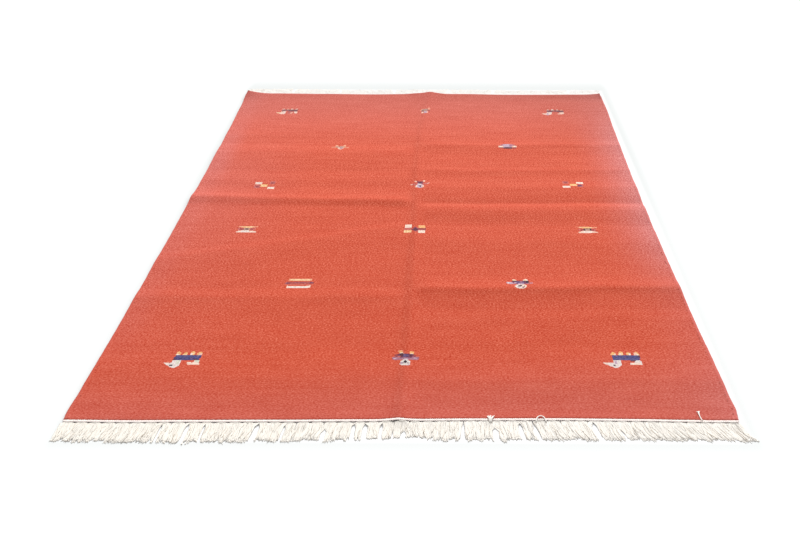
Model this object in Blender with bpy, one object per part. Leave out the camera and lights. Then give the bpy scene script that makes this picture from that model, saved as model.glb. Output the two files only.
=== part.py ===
"""Flat-woven wool kilim, lying flat, with knotted cotton fringes at both ends.

Metres, +Z up.  X runs across the width and Y along the length, with the near
end at -Y and the far end at +Y.  The underside rests on z = 0.
"""

import math

import bmesh
import bpy

# ---------------------------------------------------------------- main sizes
CLOTH_LENGTH = 2.400        # woven length along Y, end band to end band
CLOTH_WIDTH = 1.704         # woven width at the two ends
CLOTH_THICK = 0.0035        # weft-faced flat weave
PIECE_GAP = 0.0003          # clearance between cloth and end band

BAND_DEPTH = 0.0066         # twined cotton band along each end
BAND_THICK = 0.0034
BAND_INSET = 0.0030         # the band stops this far short of each corner

TASSEL_COUNT = 49
TASSEL_INSET = 0.0155       # centre of the first tassel from the corner
TASSEL_LENGTH = 0.0728      # from the end band to the tips

ORIGIN_X = 0.0111           # the fringe's corners reach further on one side
ORIGIN_Y = -0.0039

# ------------------------------------------------------------- outline tables
# Where the two long sides lie: the cloth is drawn in a little at mid length.
#   y: place along the length, left and right: the sides' X there
SIDES = (
    # y        left      right
    (-1.200, -0.8500, 0.8500),
    (-1.180, -0.8520, 0.8525),
    (-1.155, -0.8525, 0.8560),
    (-1.100, -0.8490, 0.8525),
    (-0.950, -0.8468, 0.8505),
    (-0.750, -0.8450, 0.8455),
    (-0.500, -0.8435, 0.8415),
    (-0.250, -0.8425, 0.8385),
    (0.000, -0.8435, 0.8365),
    (0.250, -0.8430, 0.8375),
    (0.500, -0.8445, 0.8410),
    (0.750, -0.8480, 0.8450),
    (1.000, -0.8540, 0.8508),
    (1.150, -0.8580, 0.8500),
    (1.200, -0.8535, 0.8455),
)

# How far each end edge strays from a straight line, beaten in by hand.
#   x: place across the width, near and far: offset of that edge along Y
ENDS = (
    # x        near      far
    (-0.860, -0.0017, -0.0010),
    (-0.700, -0.0032, 0.0000),
    (-0.500, -0.0012, -0.0050),
    (-0.300, 0.0003, -0.0090),
    (-0.100, 0.0028, -0.0060),
    (0.000, 0.0048, -0.0040),
    (0.200, 0.0078, -0.0020),
    (0.420, 0.0093, -0.0110),
    (0.600, 0.0073, -0.0090),
    (0.720, 0.0048, -0.0055),
    (0.800, 0.0033, -0.0050),
    (0.860, 0.0008, -0.0050),
)

# -------------------------------------------------------------- fold creases
# The lengthwise storage fold: a low ridge that wanders near the middle.
CENTRE_FOLD = (
    # y        x        height    reach to either side
    (-1.210, -0.0070, 0.0050, 0.060),
    (-0.800, 0.0010, 0.0045, 0.050),
    (-0.400, -0.0010, 0.0040, 0.045),
    (0.000, -0.0040, 0.0040, 0.045),
    (0.300, -0.0100, 0.0035, 0.045),
    (0.700, -0.0060, 0.0040, 0.050),
    (1.000, 0.0120, 0.0065, 0.070),
    (1.210, 0.0270, 0.0125, 0.100),
)

# Sections through the creased cloth, one for each half, from the near end to
# the far end.  A crest or foot may run at a slant, so each row has its place
# at the centre fold and its place at the selvedge, and its height.
LEFT_SECTION = (
    # y centre  y side   height
    (-1.200, -1.200, 0.0006),
    (-1.160, -1.160, 0.0004),
    (-1.020, -1.040, 0.0026),
    (-0.900, -0.920, 0.0006),
    (-0.725, -0.725, 0.0006),
    (-0.662, -0.670, 0.0018),
    (-0.625, -0.634, 0.0036),       # quarter crest, near
    (-0.566, -0.586, 0.0006),
    (-0.330, -0.520, 0.0008),
    (-0.150, -0.410, 0.0038),       # slack swell, runs slanting
    (-0.118, -0.368, 0.0014),
    (-0.050, -0.040, 0.0018),
    (-0.014, 0.006, 0.0026),
    (0.026, 0.056, 0.0093),         # half crest
    (0.068, 0.094, 0.0038),
    (0.105, 0.118, 0.0020),
    (0.155, 0.155, 0.0006),
    (0.215, 0.215, 0.0022),
    (0.300, 0.300, 0.0004),
    (0.480, 0.482, 0.0050),         # quarter crest, far
    (0.518, 0.520, 0.0034),
    (0.562, 0.565, 0.0005),
    (0.632, 0.632, 0.0004),
    (0.662, 0.662, 0.0014),
    (0.740, 0.740, 0.0008),
    (1.200, 1.200, 0.0008),
)
RIGHT_SECTION = (
    # y centre  y side   height
    (-1.200, -1.200, 0.0006),
    (-1.160, -1.160, 0.0003),
    (-1.040, -1.040, 0.0034),
    (-0.890, -0.890, 0.0008),
    (-0.745, -0.745, 0.0018),
    (-0.695, -0.690, 0.0010),
    (-0.650, -0.644, 0.0026),
    (-0.614, -0.604, 0.0050),
    (-0.586, -0.574, 0.0090),       # quarter crest, near
    (-0.548, -0.540, 0.0050),
    (-0.505, -0.500, 0.0026),
    (-0.440, -0.440, 0.0018),
    (-0.370, -0.385, 0.0020),
    (-0.260, -0.290, 0.0040),
    (-0.172, -0.190, 0.0022),
    (-0.152, -0.166, 0.0012),
    (-0.120, -0.136, 0.0020),
    (-0.084, -0.100, 0.0044),
    (-0.046, -0.050, 0.0068),       # half crest, near of the dip
    (-0.018, -0.010, 0.0056),
    (0.000, 0.006, 0.0024),
    (0.016, 0.022, -0.0001),        # the dip, folded the other way
    (0.038, 0.044, 0.0026),
    (0.084, 0.094, 0.0046),
    (0.144, 0.147, 0.0060),         # half crest, far of the dip
    (0.190, 0.192, 0.0030),
    (0.215, 0.215, 0.0022),
    (0.250, 0.258, 0.0014),
    (0.284, 0.292, 0.0024),
    (0.302, 0.310, 0.0038),         # minor crest
    (0.332, 0.338, 0.0016),
    (0.370, 0.372, 0.0010),
    (0.460, 0.458, 0.0006),
    (0.528, 0.530, 0.0026),
    (0.562, 0.565, 0.0047),         # quarter crest, far
    (0.592, 0.595, 0.0022),
    (0.640, 0.643, 0.0008),
    (1.200, 1.200, 0.0008),
)
HALF_WIDTH = 0.848
FOLD_FADE = 0.045           # a cross fold fades in over this far from the centre
FOLD_ROUND = 0.10           # crest rounding, as a share of the reach
CREST_ROUND = 0.006         # crests and feet are rounded over about this much
FLAT_HEIGHT = 0.0006        # what is lower than this lies on the floor

# Corners, and a place at the far edge, that curl up a little.
CORNER_LIFTS = (
    # name         x       y      height   reach
    ("far_left", -0.857, 1.200, 0.0160, 0.125),
    ("far_right", 0.848, 1.200, 0.0070, 0.085),
    ("near_right", 0.853, -1.200, 0.0032, 0.075),
    ("far_fold", -0.050, 1.205, 0.0045, 0.075),
)

# ------------------------------------------------------------- mesh stations
# Columns, as shares of the way from the side (0) to the centre fold (1).
COLUMN_SHARES = (0.0, 0.025, 0.060, 0.110, 0.200, 0.360, 0.520, 0.680, 0.800,
                 0.880, 0.935, 0.970, 1.0)
# Rows stand at the crests and feet of both sections; between them no step is
# longer than ROW_LONGEST, and none is shorter than ROW_SHORTEST.
ROW_LONGEST = 0.105
ROW_SHORTEST = 0.0105

# -------------------------------------------------------------------- fringe
# How the tassels lie.  lean: sideways travel of the tip; length: as a share
# of TASSEL_LENGTH; splay: half width at the tip.
NEAR_LAY = (
    # x       lean     length  splay
    (-0.850, -0.0040, 0.99, 0.0135),
    (-0.750, -0.0160, 1.01, 0.0125),
    (-0.620, -0.0070, 1.07, 0.0125),
    (-0.500, -0.0050, 1.07, 0.0115),
    (-0.360, -0.0080, 1.01, 0.0120),
    (-0.200, -0.0120, 1.00, 0.0125),
    (-0.060, -0.0030, 0.92, 0.0110),
    (0.030, 0.0010, 0.86, 0.0110),
    (0.120, -0.0060, 1.03, 0.0125),
    (0.260, 0.0050, 1.03, 0.0120),
    (0.380, 0.0220, 1.03, 0.0115),
    (0.500, 0.0180, 1.01, 0.0120),
    (0.680, 0.0340, 0.98, 0.0120),
    (0.760, 0.0330, 0.93, 0.0120),
    (0.850, 0.0310, 1.00, 0.0130),
)
FAR_LAY = (
    # x       lean     length  splay
    (-0.850, -0.0060, 1.00, 0.0125),
    (-0.600, 0.0060, 1.02, 0.0115),
    (-0.300, -0.0080, 0.97, 0.0125),
    (0.000, 0.0040, 1.00, 0.0115),
    (0.250, 0.0120, 1.00, 0.0120),
    (0.550, 0.0060, 0.98, 0.0120),
    (0.850, 0.0160, 1.02, 0.0125),
)

# One tassel, from the band outwards: a short neck, then the flat skirt.  The
# last row's half width comes from the lay tables.
TASSEL_SECTIONS = (
    # out      half width  height   share of the band's lift
    (0.0000, 0.0070, 0.0035, 1.00),
    (0.0035, 0.0148, 0.0042, 0.85),
    (0.0220, 0.0150, 0.0036, 0.10),
    (TASSEL_LENGTH, None, 0.0022, 0.00),
)
TASSEL_TOP_SHARE = 0.86     # width of a section's top against its foot
SPLAY_SHARE = 1.12          # a skirt's half width at the tips, against splay


def along(table, key, column):
    """Value of a table column at key, eased between its rows."""
    if key <= table[0][0]:
        return table[0][column]
    for low, high in zip(table, table[1:]):
        if key <= high[0]:
            share = (key - low[0]) / (high[0] - low[0])
            share = share * share * (3.0 - 2.0 * share)
            return low[column] + (high[column] - low[column]) * share
    return table[-1][column]


def flank(distance, reach):
    """Height share on a crease's flank: steepest next to the crest."""
    share = abs(distance) / reach
    share = (math.sqrt(share * share + FOLD_ROUND ** 2) - FOLD_ROUND)
    share /= math.sqrt(1.0 + FOLD_ROUND ** 2) - FOLD_ROUND
    return (1.0 - share) ** 2 if share < 1.0 else 0.0


def section(table, y, out):
    """Height of one half's section at y, with its rows slanting over the way
    out (0 at the centre fold, 1 at the selvedge)."""
    total = 0.0
    for shift in (-CREST_ROUND, 0.0, CREST_ROUND):
        height = table[0][2]
        for (ca, sa, ha), (cb, sb, hb) in zip(table, table[1:]):
            low, high = ca + (sa - ca) * out, cb + (sb - cb) * out
            share = min(max((y + shift - low) / (high - low), 0.0), 1.0)
            height += (hb - ha) * share
        total += height / 3.0
    return total


def lift(x, y):
    """How far the cloth's underside stands off the floor at (x, y)."""
    fold_x = along(CENTRE_FOLD, y, 1)
    rise = along(CENTRE_FOLD, y, 2) * flank(x - fold_x,
                                            along(CENTRE_FOLD, y, 3))
    out = min(abs(x - fold_x) / HALF_WIDTH, 1.0)
    fade = min(abs(x - fold_x) / FOLD_FADE, 1.0)
    # a real crease isn't ruled: it strays by a few millimetres
    stray = y - 0.0030 * math.sin(9.0 * x + 2.0) - 0.0016 * math.sin(23.0 * x)
    half = LEFT_SECTION if x < fold_x else RIGHT_SECTION
    rise += fade * section(half, stray, out)
    for _name, cx, cy, height, reach in CORNER_LIFTS:
        away = math.hypot(x - cx, y - cy) / reach
        if away < 1.0:
            rise += height * (1.0 - away) ** 2
    return max(rise - FLAT_HEIGHT, 0.0)


def end_y(x, sign):
    """The woven end's Y at x: sign -1 for the near end, +1 for the far end."""
    return sign * CLOTH_LENGTH / 2 + along(ENDS, x, 1 if sign < 0 else 2)


def column_x(share, y):
    """X of a column at y; share runs from -1 (left side) to +1 (right)."""
    fold_x = along(CENTRE_FOLD, y, 1)
    side_x = along(SIDES, y, 1 if share < 0.0 else 2)
    return fold_x + (side_x - fold_x) * abs(share)


def all_shares():
    """The columns' shares from the left side to the right side."""
    shares = [s - 1.0 for s in COLUMN_SHARES]
    return shares + [1.0 - s for s in reversed(COLUMN_SHARES[:-1])]


def row_stations():
    """The rows' places along Y, as shares of half the length: -1 to +1."""
    half = CLOTH_LENGTH / 2
    marks = sorted((row[0] + row[1]) / 2 for table in
                   (LEFT_SECTION, RIGHT_SECTION) for row in table)
    rows = [-half]
    for mark in marks:
        mark = min(mark, half)
        if mark - rows[-1] < ROW_SHORTEST:
            continue
        steps = math.ceil((mark - rows[-1]) / ROW_LONGEST)
        start = rows[-1]
        rows += [start + (mark - start) * (k + 1) / steps
                 for k in range(steps)]
    rows[-1] = half
    return [row / half for row in rows]


def end_corners(sign):
    """The cloth's corner points along one end edge, left to right."""
    corners = []
    for share in all_shares():
        x = column_x(share, sign * CLOTH_LENGTH / 2)
        y = end_y(x, sign)
        corners.append((x, y, lift(x, y)))
    return corners


def on_edge(corners, x):
    """Y and Z of the faceted end edge at x."""
    for low, high in zip(corners, corners[1:]):
        if x <= high[0]:
            share = (x - low[0]) / (high[0] - low[0])
            return (low[1] + (high[1] - low[1]) * share,
                    low[2] + (high[2] - low[2]) * share)
    return corners[-1][1:]


def material(name, colour, roughness):
    made = bpy.data.materials.new(name)
    made.use_nodes = True
    shader = made.node_tree.nodes["Principled BSDF"]
    shader.inputs["Base Color"].default_value = (*colour, 1.0)
    shader.inputs["Roughness"].default_value = roughness
    shader.inputs["Metallic"].default_value = 0.0
    return made


def finish(name, bm, colour, roughness):
    """Turn a closed bmesh into one named object with its own material."""
    bmesh.ops.translate(bm, vec=(-ORIGIN_X, -ORIGIN_Y, 0.0), verts=bm.verts)
    bmesh.ops.recalc_face_normals(bm, faces=bm.faces)
    mesh = bpy.data.meshes.new(name)
    bm.to_mesh(mesh)
    bm.free()
    made = bpy.data.objects.new(name, mesh)
    bpy.context.scene.collection.objects.link(made)
    mesh.materials.append(material(name, colour, roughness))
    return made


def build_cloth():
    """The woven field: a grid that follows the outline and the folds, then
    extruded upwards by the weave's thickness."""
    shares = all_shares()
    bm = bmesh.new()
    grid = []
    for station in row_stations():
        row = []
        for share in shares:
            x = column_x(share, station * CLOTH_LENGTH / 2)
            near, far = end_y(x, -1), end_y(x, 1)
            y = near + (far - near) * (station + 1.0) / 2
            row.append(bm.verts.new((x, y, lift(x, y))))
        grid.append(row)
    under = []
    for low, high in zip(grid, grid[1:]):
        for i in range(len(shares) - 1):
            under.append(bm.faces.new((low[i], low[i + 1],
                                       high[i + 1], high[i])))
    raised = bmesh.ops.extrude_face_region(bm, geom=under,
                                           use_keep_orig=True)["geom"]
    top = [part for part in raised if isinstance(part, bmesh.types.BMVert)]
    bmesh.ops.translate(bm, vec=(0.0, 0.0, CLOTH_THICK), verts=top)
    return finish("kilim_cloth", bm, (0.72, 0.14, 0.09), 0.9)


def build_fringe(name, sign, lay):
    """One comb: the twined band along the end edge and its tassels."""
    bm = bmesh.new()
    left = along(SIDES, sign * CLOTH_LENGTH / 2, 1)
    right = along(SIDES, sign * CLOTH_LENGTH / 2, 2)
    first = left + TASSEL_INSET
    pitch = (right - left - 2 * TASSEL_INSET) / (TASSEL_COUNT - 1)
    neck = TASSEL_SECTIONS[0][1]

    # stations along the band: its ends and both sides of every neck
    centres = [first + pitch * i for i in range(TASSEL_COUNT)]
    stations = [left + BAND_INSET]
    for centre in centres:
        stations += [centre - neck, centre + neck]
    stations.append(right - BAND_INSET)

    corners = end_corners(sign)

    def band_corner(x, out, up):
        y, z = on_edge(corners, x)
        return bm.verts.new((x, y + sign * (PIECE_GAP + out), z + up))

    ring = []
    for x in stations:
        ring.append((band_corner(x, 0.0, 0.0), band_corner(x, 0.0, BAND_THICK),
                     band_corner(x, BAND_DEPTH, BAND_THICK),
                     band_corner(x, BAND_DEPTH, 0.0)))
    bm.faces.new(ring[0])
    bm.faces.new(ring[-1])
    for k, (a, b) in enumerate(zip(ring, ring[1:])):
        for i in range(4):
            j = (i + 1) % 4
            if i == 2 and k % 2 == 1:
                continue                # a tassel's neck opens here
            bm.faces.new((a[i], b[i], b[j], a[j]))

    for index, centre in enumerate(centres):
        before, after = ring[1 + 2 * index], ring[2 + 2 * index]
        last = (before[3], after[3], after[2], before[2])
        lean = along(lay, centre, 1)
        length = along(lay, centre, 2)
        splay = along(lay, centre, 3)
        # neighbours differ a little in length, so the tips aren't in line
        length *= 1.0 + 0.045 * math.sin(2.4 * index) * math.cos(0.7 * index)
        edge_y, base = on_edge(corners, centre)
        root_y = edge_y + sign * (PIECE_GAP + BAND_DEPTH)
        for out, half, height, held in TASSEL_SECTIONS[1:]:
            share = out / TASSEL_LENGTH
            half = splay * SPLAY_SHARE if half is None else half
            x = centre + lean * share ** 1.25
            y = root_y + sign * out * length
            z = base * held
            ends = []
            for dx, up in ((-half, 0.0), (half, 0.0),
                           (half * TASSEL_TOP_SHARE, height),
                           (-half * TASSEL_TOP_SHARE, height)):
                ends.append(bm.verts.new((x + dx, y, z + up)))
            for i in range(4):
                j = (i + 1) % 4
                bm.faces.new((last[i], last[j], ends[j], ends[i]))
            last = ends
        bm.faces.new(last)
    return finish(name, bm, (0.86, 0.80, 0.68), 0.85)


for old in list(bpy.data.objects):
    bpy.data.objects.remove(old, do_unlink=True)

build_cloth()
build_fringe("fringe_near", -1, NEAR_LAY)
build_fringe("fringe_far", 1, FAR_LAY)
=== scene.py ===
import math

import bpy
import numpy as np
from mathutils import Matrix, Vector


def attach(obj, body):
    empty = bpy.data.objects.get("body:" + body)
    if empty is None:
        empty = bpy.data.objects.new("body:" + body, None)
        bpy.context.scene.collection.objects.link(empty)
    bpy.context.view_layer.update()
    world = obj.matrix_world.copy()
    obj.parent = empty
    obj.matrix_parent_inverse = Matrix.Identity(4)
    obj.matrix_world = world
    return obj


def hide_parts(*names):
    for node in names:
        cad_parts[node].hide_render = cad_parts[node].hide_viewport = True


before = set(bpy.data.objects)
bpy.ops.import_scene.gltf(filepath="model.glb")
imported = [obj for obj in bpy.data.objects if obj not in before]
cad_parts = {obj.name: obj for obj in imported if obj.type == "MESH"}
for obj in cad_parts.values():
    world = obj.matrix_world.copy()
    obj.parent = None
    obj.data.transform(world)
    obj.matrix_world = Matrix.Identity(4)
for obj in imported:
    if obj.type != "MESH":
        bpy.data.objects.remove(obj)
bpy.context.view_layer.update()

# =====================================================================
# Sizes and tables of the rug, in metres, as its solids have them.
# X runs across the width, Y along the length, the near end at -Y.
# =====================================================================
CLOTH_LENGTH = 2.400
CLOTH_THICK = 0.0035
BAND_DEPTH = 0.0040
PIECE_GAP = 0.0003
TASSEL_COUNT = 49
TASSEL_INSET = 0.0155
TASSEL_LENGTH = 0.0765
ORIGIN_X = 0.0111
ORIGIN_Y = -0.0039

SIDES = (
    # y        left      right
    (-1.200, -0.8500, 0.8500),
    (-1.180, -0.8520, 0.8525),
    (-1.155, -0.8525, 0.8560),
    (-1.100, -0.8490, 0.8525),
    (-0.950, -0.8468, 0.8505),
    (-0.750, -0.8450, 0.8455),
    (-0.500, -0.8435, 0.8415),
    (-0.250, -0.8425, 0.8385),
    (0.000, -0.8435, 0.8365),
    (0.250, -0.8430, 0.8375),
    (0.500, -0.8445, 0.8410),
    (0.750, -0.8480, 0.8450),
    (1.000, -0.8540, 0.8508),
    (1.150, -0.8580, 0.8500),
    (1.200, -0.8535, 0.8455),
)
ENDS = (
    # x        near      far
    (-0.860, -0.0017, -0.0010),
    (-0.700, -0.0032, 0.0000),
    (-0.500, -0.0012, -0.0050),
    (-0.300, 0.0003, -0.0090),
    (-0.100, 0.0028, -0.0060),
    (0.000, 0.0048, -0.0040),
    (0.200, 0.0078, -0.0020),
    (0.420, 0.0093, -0.0110),
    (0.600, 0.0073, -0.0090),
    (0.720, 0.0048, -0.0055),
    (0.800, 0.0033, -0.0050),
    (0.860, 0.0008, -0.0050),
)
CENTRE_FOLD = (
    # y        x        height    reach to either side
    (-1.210, -0.0070, 0.0050, 0.060),
    (-0.800, 0.0010, 0.0045, 0.050),
    (-0.400, -0.0010, 0.0040, 0.045),
    (0.000, -0.0040, 0.0040, 0.045),
    (0.300, -0.0100, 0.0035, 0.045),
    (0.700, -0.0060, 0.0040, 0.050),
    (1.000, 0.0120, 0.0065, 0.070),
    (1.210, 0.0270, 0.0125, 0.100),
)
# Sections through the creased cloth, one for each half, from the near end to
# the far end.  A crest or foot may run at a slant, so each row has its place
# at the centre fold and its place at the selvedge, and its height.
LEFT_SECTION = (
    # y centre  y side   height
    (-1.200, -1.200, 0.0006),
    (-1.160, -1.160, 0.0004),
    (-1.020, -1.040, 0.0026),
    (-0.900, -0.920, 0.0006),
    (-0.725, -0.725, 0.0006),
    (-0.662, -0.670, 0.0018),
    (-0.625, -0.634, 0.0036),       # quarter crest, near
    (-0.566, -0.586, 0.0006),
    (-0.330, -0.520, 0.0008),
    (-0.150, -0.410, 0.0038),       # slack swell, runs slanting
    (-0.118, -0.368, 0.0014),
    (-0.050, -0.040, 0.0018),
    (-0.014, 0.006, 0.0026),
    (0.026, 0.056, 0.0093),         # half crest
    (0.068, 0.094, 0.0038),
    (0.105, 0.118, 0.0020),
    (0.155, 0.155, 0.0006),
    (0.215, 0.215, 0.0022),
    (0.300, 0.300, 0.0004),
    (0.480, 0.482, 0.0050),         # quarter crest, far
    (0.518, 0.520, 0.0034),
    (0.562, 0.565, 0.0005),
    (0.632, 0.632, 0.0004),
    (0.662, 0.662, 0.0014),
    (0.740, 0.740, 0.0008),
    (1.200, 1.200, 0.0008),
)
RIGHT_SECTION = (
    # y centre  y side   height
    (-1.200, -1.200, 0.0006),
    (-1.160, -1.160, 0.0003),
    (-1.040, -1.040, 0.0034),
    (-0.890, -0.890, 0.0008),
    (-0.745, -0.745, 0.0018),
    (-0.695, -0.690, 0.0010),
    (-0.650, -0.644, 0.0026),
    (-0.614, -0.604, 0.0050),
    (-0.586, -0.574, 0.0090),       # quarter crest, near
    (-0.548, -0.540, 0.0050),
    (-0.505, -0.500, 0.0026),
    (-0.440, -0.440, 0.0018),
    (-0.370, -0.385, 0.0020),
    (-0.260, -0.290, 0.0040),
    (-0.172, -0.190, 0.0022),
    (-0.152, -0.166, 0.0012),
    (-0.120, -0.136, 0.0020),
    (-0.084, -0.100, 0.0044),
    (-0.046, -0.050, 0.0068),       # half crest, near of the dip
    (-0.018, -0.010, 0.0056),
    (0.000, 0.006, 0.0024),
    (0.016, 0.022, -0.0001),        # the dip, folded the other way
    (0.038, 0.044, 0.0026),
    (0.084, 0.094, 0.0046),
    (0.144, 0.147, 0.0060),         # half crest, far of the dip
    (0.190, 0.192, 0.0030),
    (0.215, 0.215, 0.0022),
    (0.250, 0.258, 0.0014),
    (0.284, 0.292, 0.0024),
    (0.302, 0.310, 0.0038),         # minor crest
    (0.332, 0.338, 0.0016),
    (0.370, 0.372, 0.0010),
    (0.460, 0.458, 0.0006),
    (0.528, 0.530, 0.0026),
    (0.562, 0.565, 0.0047),         # quarter crest, far
    (0.592, 0.595, 0.0022),
    (0.640, 0.643, 0.0008),
    (1.200, 1.200, 0.0008),
)
HALF_WIDTH = 0.848
FOLD_FADE = 0.045
FOLD_ROUND = 0.10
CREST_ROUND = 0.006     # crests and feet are rounded over about this much
CORNER_LIFTS = (
    # name         x       y      height   reach
    ("far_left", -0.857, 1.200, 0.0160, 0.125),
    ("far_right", 0.848, 1.200, 0.0070, 0.085),
    ("near_right", 0.853, -1.200, 0.0032, 0.075),
    ("far_fold", -0.050, 1.205, 0.0045, 0.075),
)
NEAR_LAY = (
    # x       lean     length  splay
    (-0.850, -0.0040, 0.99, 0.0135),
    (-0.750, -0.0160, 1.01, 0.0125),
    (-0.620, -0.0070, 1.07, 0.0125),
    (-0.500, -0.0050, 1.07, 0.0115),
    (-0.360, -0.0080, 1.01, 0.0120),
    (-0.200, -0.0120, 1.00, 0.0125),
    (-0.060, -0.0030, 0.92, 0.0110),
    (0.030, 0.0010, 0.86, 0.0110),
    (0.120, -0.0060, 1.03, 0.0125),
    (0.260, 0.0050, 1.03, 0.0120),
    (0.380, 0.0220, 1.03, 0.0115),
    (0.500, 0.0180, 1.01, 0.0120),
    (0.680, 0.0340, 0.98, 0.0120),
    (0.760, 0.0330, 0.93, 0.0120),
    (0.850, 0.0310, 1.00, 0.0130),
)
FAR_LAY = (
    # x       lean     length  splay
    (-0.850, -0.0060, 1.00, 0.0125),
    (-0.600, 0.0060, 1.02, 0.0115),
    (-0.300, -0.0080, 0.97, 0.0125),
    (0.000, 0.0040, 1.00, 0.0115),
    (0.250, 0.0120, 1.00, 0.0120),
    (0.550, 0.0060, 0.98, 0.0120),
    (0.850, 0.0160, 1.02, 0.0125),
)


def along(table, key, column):
    """Values of a table column at key (a number or an array), eased."""
    keys = np.array([row[0] for row in table], float)
    vals = np.array([row[column] for row in table], float)
    key = np.clip(np.asarray(key, float), keys[0], keys[-1])
    k = np.clip(np.searchsorted(keys, key, side="right") - 1, 0, len(keys) - 2)
    share = (key - keys[k]) / (keys[k + 1] - keys[k])
    share = share * share * (3.0 - 2.0 * share)
    return vals[k] + (vals[k + 1] - vals[k]) * share


def flank(distance, reach):
    share = np.abs(distance) / reach
    share = np.sqrt(share * share + FOLD_ROUND ** 2) - FOLD_ROUND
    share = share / (math.sqrt(1.0 + FOLD_ROUND ** 2) - FOLD_ROUND)
    return np.where(share < 1.0, (1.0 - np.minimum(share, 1.0)) ** 2, 0.0)


def section(table, y, out):
    """Height of one half's section at y, with its rows slanting over the way
    out (0 at the centre fold, 1 at the selvedge)."""
    rise = 0.0
    for shift in (-CREST_ROUND, 0.0, CREST_ROUND):
        at = y + shift
        height = np.full(np.shape(at), table[0][2])
        for (ca, sa, ha), (cb, sb, hb) in zip(table, table[1:]):
            low, high = ca + (sa - ca) * out, cb + (sb - cb) * out
            share = np.clip((at - low) / (high - low), 0.0, 1.0)
            height = height + (hb - ha) * share
        rise = rise + height / 3.0
    return rise


def lift(x, y):
    """How far the cloth's underside stands off the floor."""
    x, y = np.asarray(x, float), np.asarray(y, float)
    fold_x = along(CENTRE_FOLD, y, 1)
    rise = along(CENTRE_FOLD, y, 2) * flank(x - fold_x,
                                            along(CENTRE_FOLD, y, 3))
    out = np.clip(np.abs(x - fold_x) / HALF_WIDTH, 0.0, 1.0)
    fade = np.clip(np.abs(x - fold_x) / FOLD_FADE, 0.0, 1.0)
    # a real crease isn't ruled: it strays by a few millimetres
    stray = y - 0.0030 * np.sin(9.0 * x + 2.0) - 0.0016 * np.sin(23.0 * x)
    rise = rise + fade * np.where(x < fold_x,
                                  section(LEFT_SECTION, stray, out),
                                  section(RIGHT_SECTION, stray, out))
    for _name, cx, cy, height, reach in CORNER_LIFTS:
        away = np.hypot(x - cx, y - cy) / reach
        rise = rise + height * np.clip(1.0 - away, 0.0, 1.0) ** 2
    return rise


def end_y(x, sign):
    return sign * CLOTH_LENGTH / 2 + along(ENDS, x, 1 if sign < 0 else 2)


def smooth_noise(x, y, cell_x, cell_y, seed):
    """Smooth noise from -1 to 1 with features about cell_x by cell_y."""
    table = np.random.RandomState(seed).uniform(-1, 1, (97, 89))
    u, v = np.asarray(x) / cell_x + 31.3, np.asarray(y) / cell_y + 37.7
    i, j = np.floor(u).astype(int), np.floor(v).astype(int)
    a, b = u - i, v - j
    a, b = a * a * (3 - 2 * a), b * b * (3 - 2 * b)

    def at(m, n):
        return table[m % 97, n % 89]
    return ((at(i, j) * (1 - a) + at(i + 1, j) * a) * (1 - b)
            + (at(i, j + 1) * (1 - a) + at(i + 1, j + 1) * a) * b)


def slack(x, y):
    """Small unevenness of a cloth that lies as it fell."""
    broad = smooth_noise(x, y, 0.170, 0.090, 3)
    mid = smooth_noise(x, y, 0.070, 0.040, 5)
    ripple = smooth_noise(x, y, 0.120, 0.016, 7)
    return 0.0009 + 0.0006 * broad + 0.00022 * mid + 0.00010 * ripple


# =====================================================================
# Yarn colours and the woven motifs
# =====================================================================
STUDIO_LIGHT = 1.25     # light on a flat face, against a pure white of 1


def dyed(r, g, b):
    """A yarn's own colour, from how it looks in the studio's light (0-255
    screen values)."""
    out = []
    for c in (r, g, b):
        c = c / 255.0
        c = c / 12.92 if c <= 0.04045 else ((c + 0.055) / 1.055) ** 2.4
        out.append(min(c / STUDIO_LIGHT, 0.98))
    return tuple(out)


YARNS = {
    ".": dyed(220, 91, 63),      # the field's madder coral
    "Y": dyed(251, 188, 122),    # ochre
    "y": dyed(255, 212, 162),    # pale apricot
    "T": dyed(246, 166, 132),    # faded apricot
    "Q": dyed(252, 200, 178),    # pale rose
    "t": dyed(226, 142, 112),    # apricot, nearly the field's own tone
    "W": dyed(242, 228, 222),    # ivory
    "w": dyed(255, 226, 208),    # warm ivory
    "G": dyed(224, 222, 202),    # ivory with a green cast
    "g": dyed(186, 150, 132),    # grey green, faded
    "L": dyed(206, 178, 196),    # pale lilac
    "l": dyed(182, 124, 142),    # dusty lilac
    "M": dyed(206, 104, 96),     # dusty pink
    "R": dyed(168, 76, 76),      # dark madder
    "P": dyed(122, 64, 92),      # plum
    "B": dyed(76, 79, 132),      # indigo
    "V": dyed(112, 88, 128),     # worn indigo
    "N": dyed(96, 52, 62),       # plum brown
    "K": dyed(58, 46, 58),       # black
}

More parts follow.
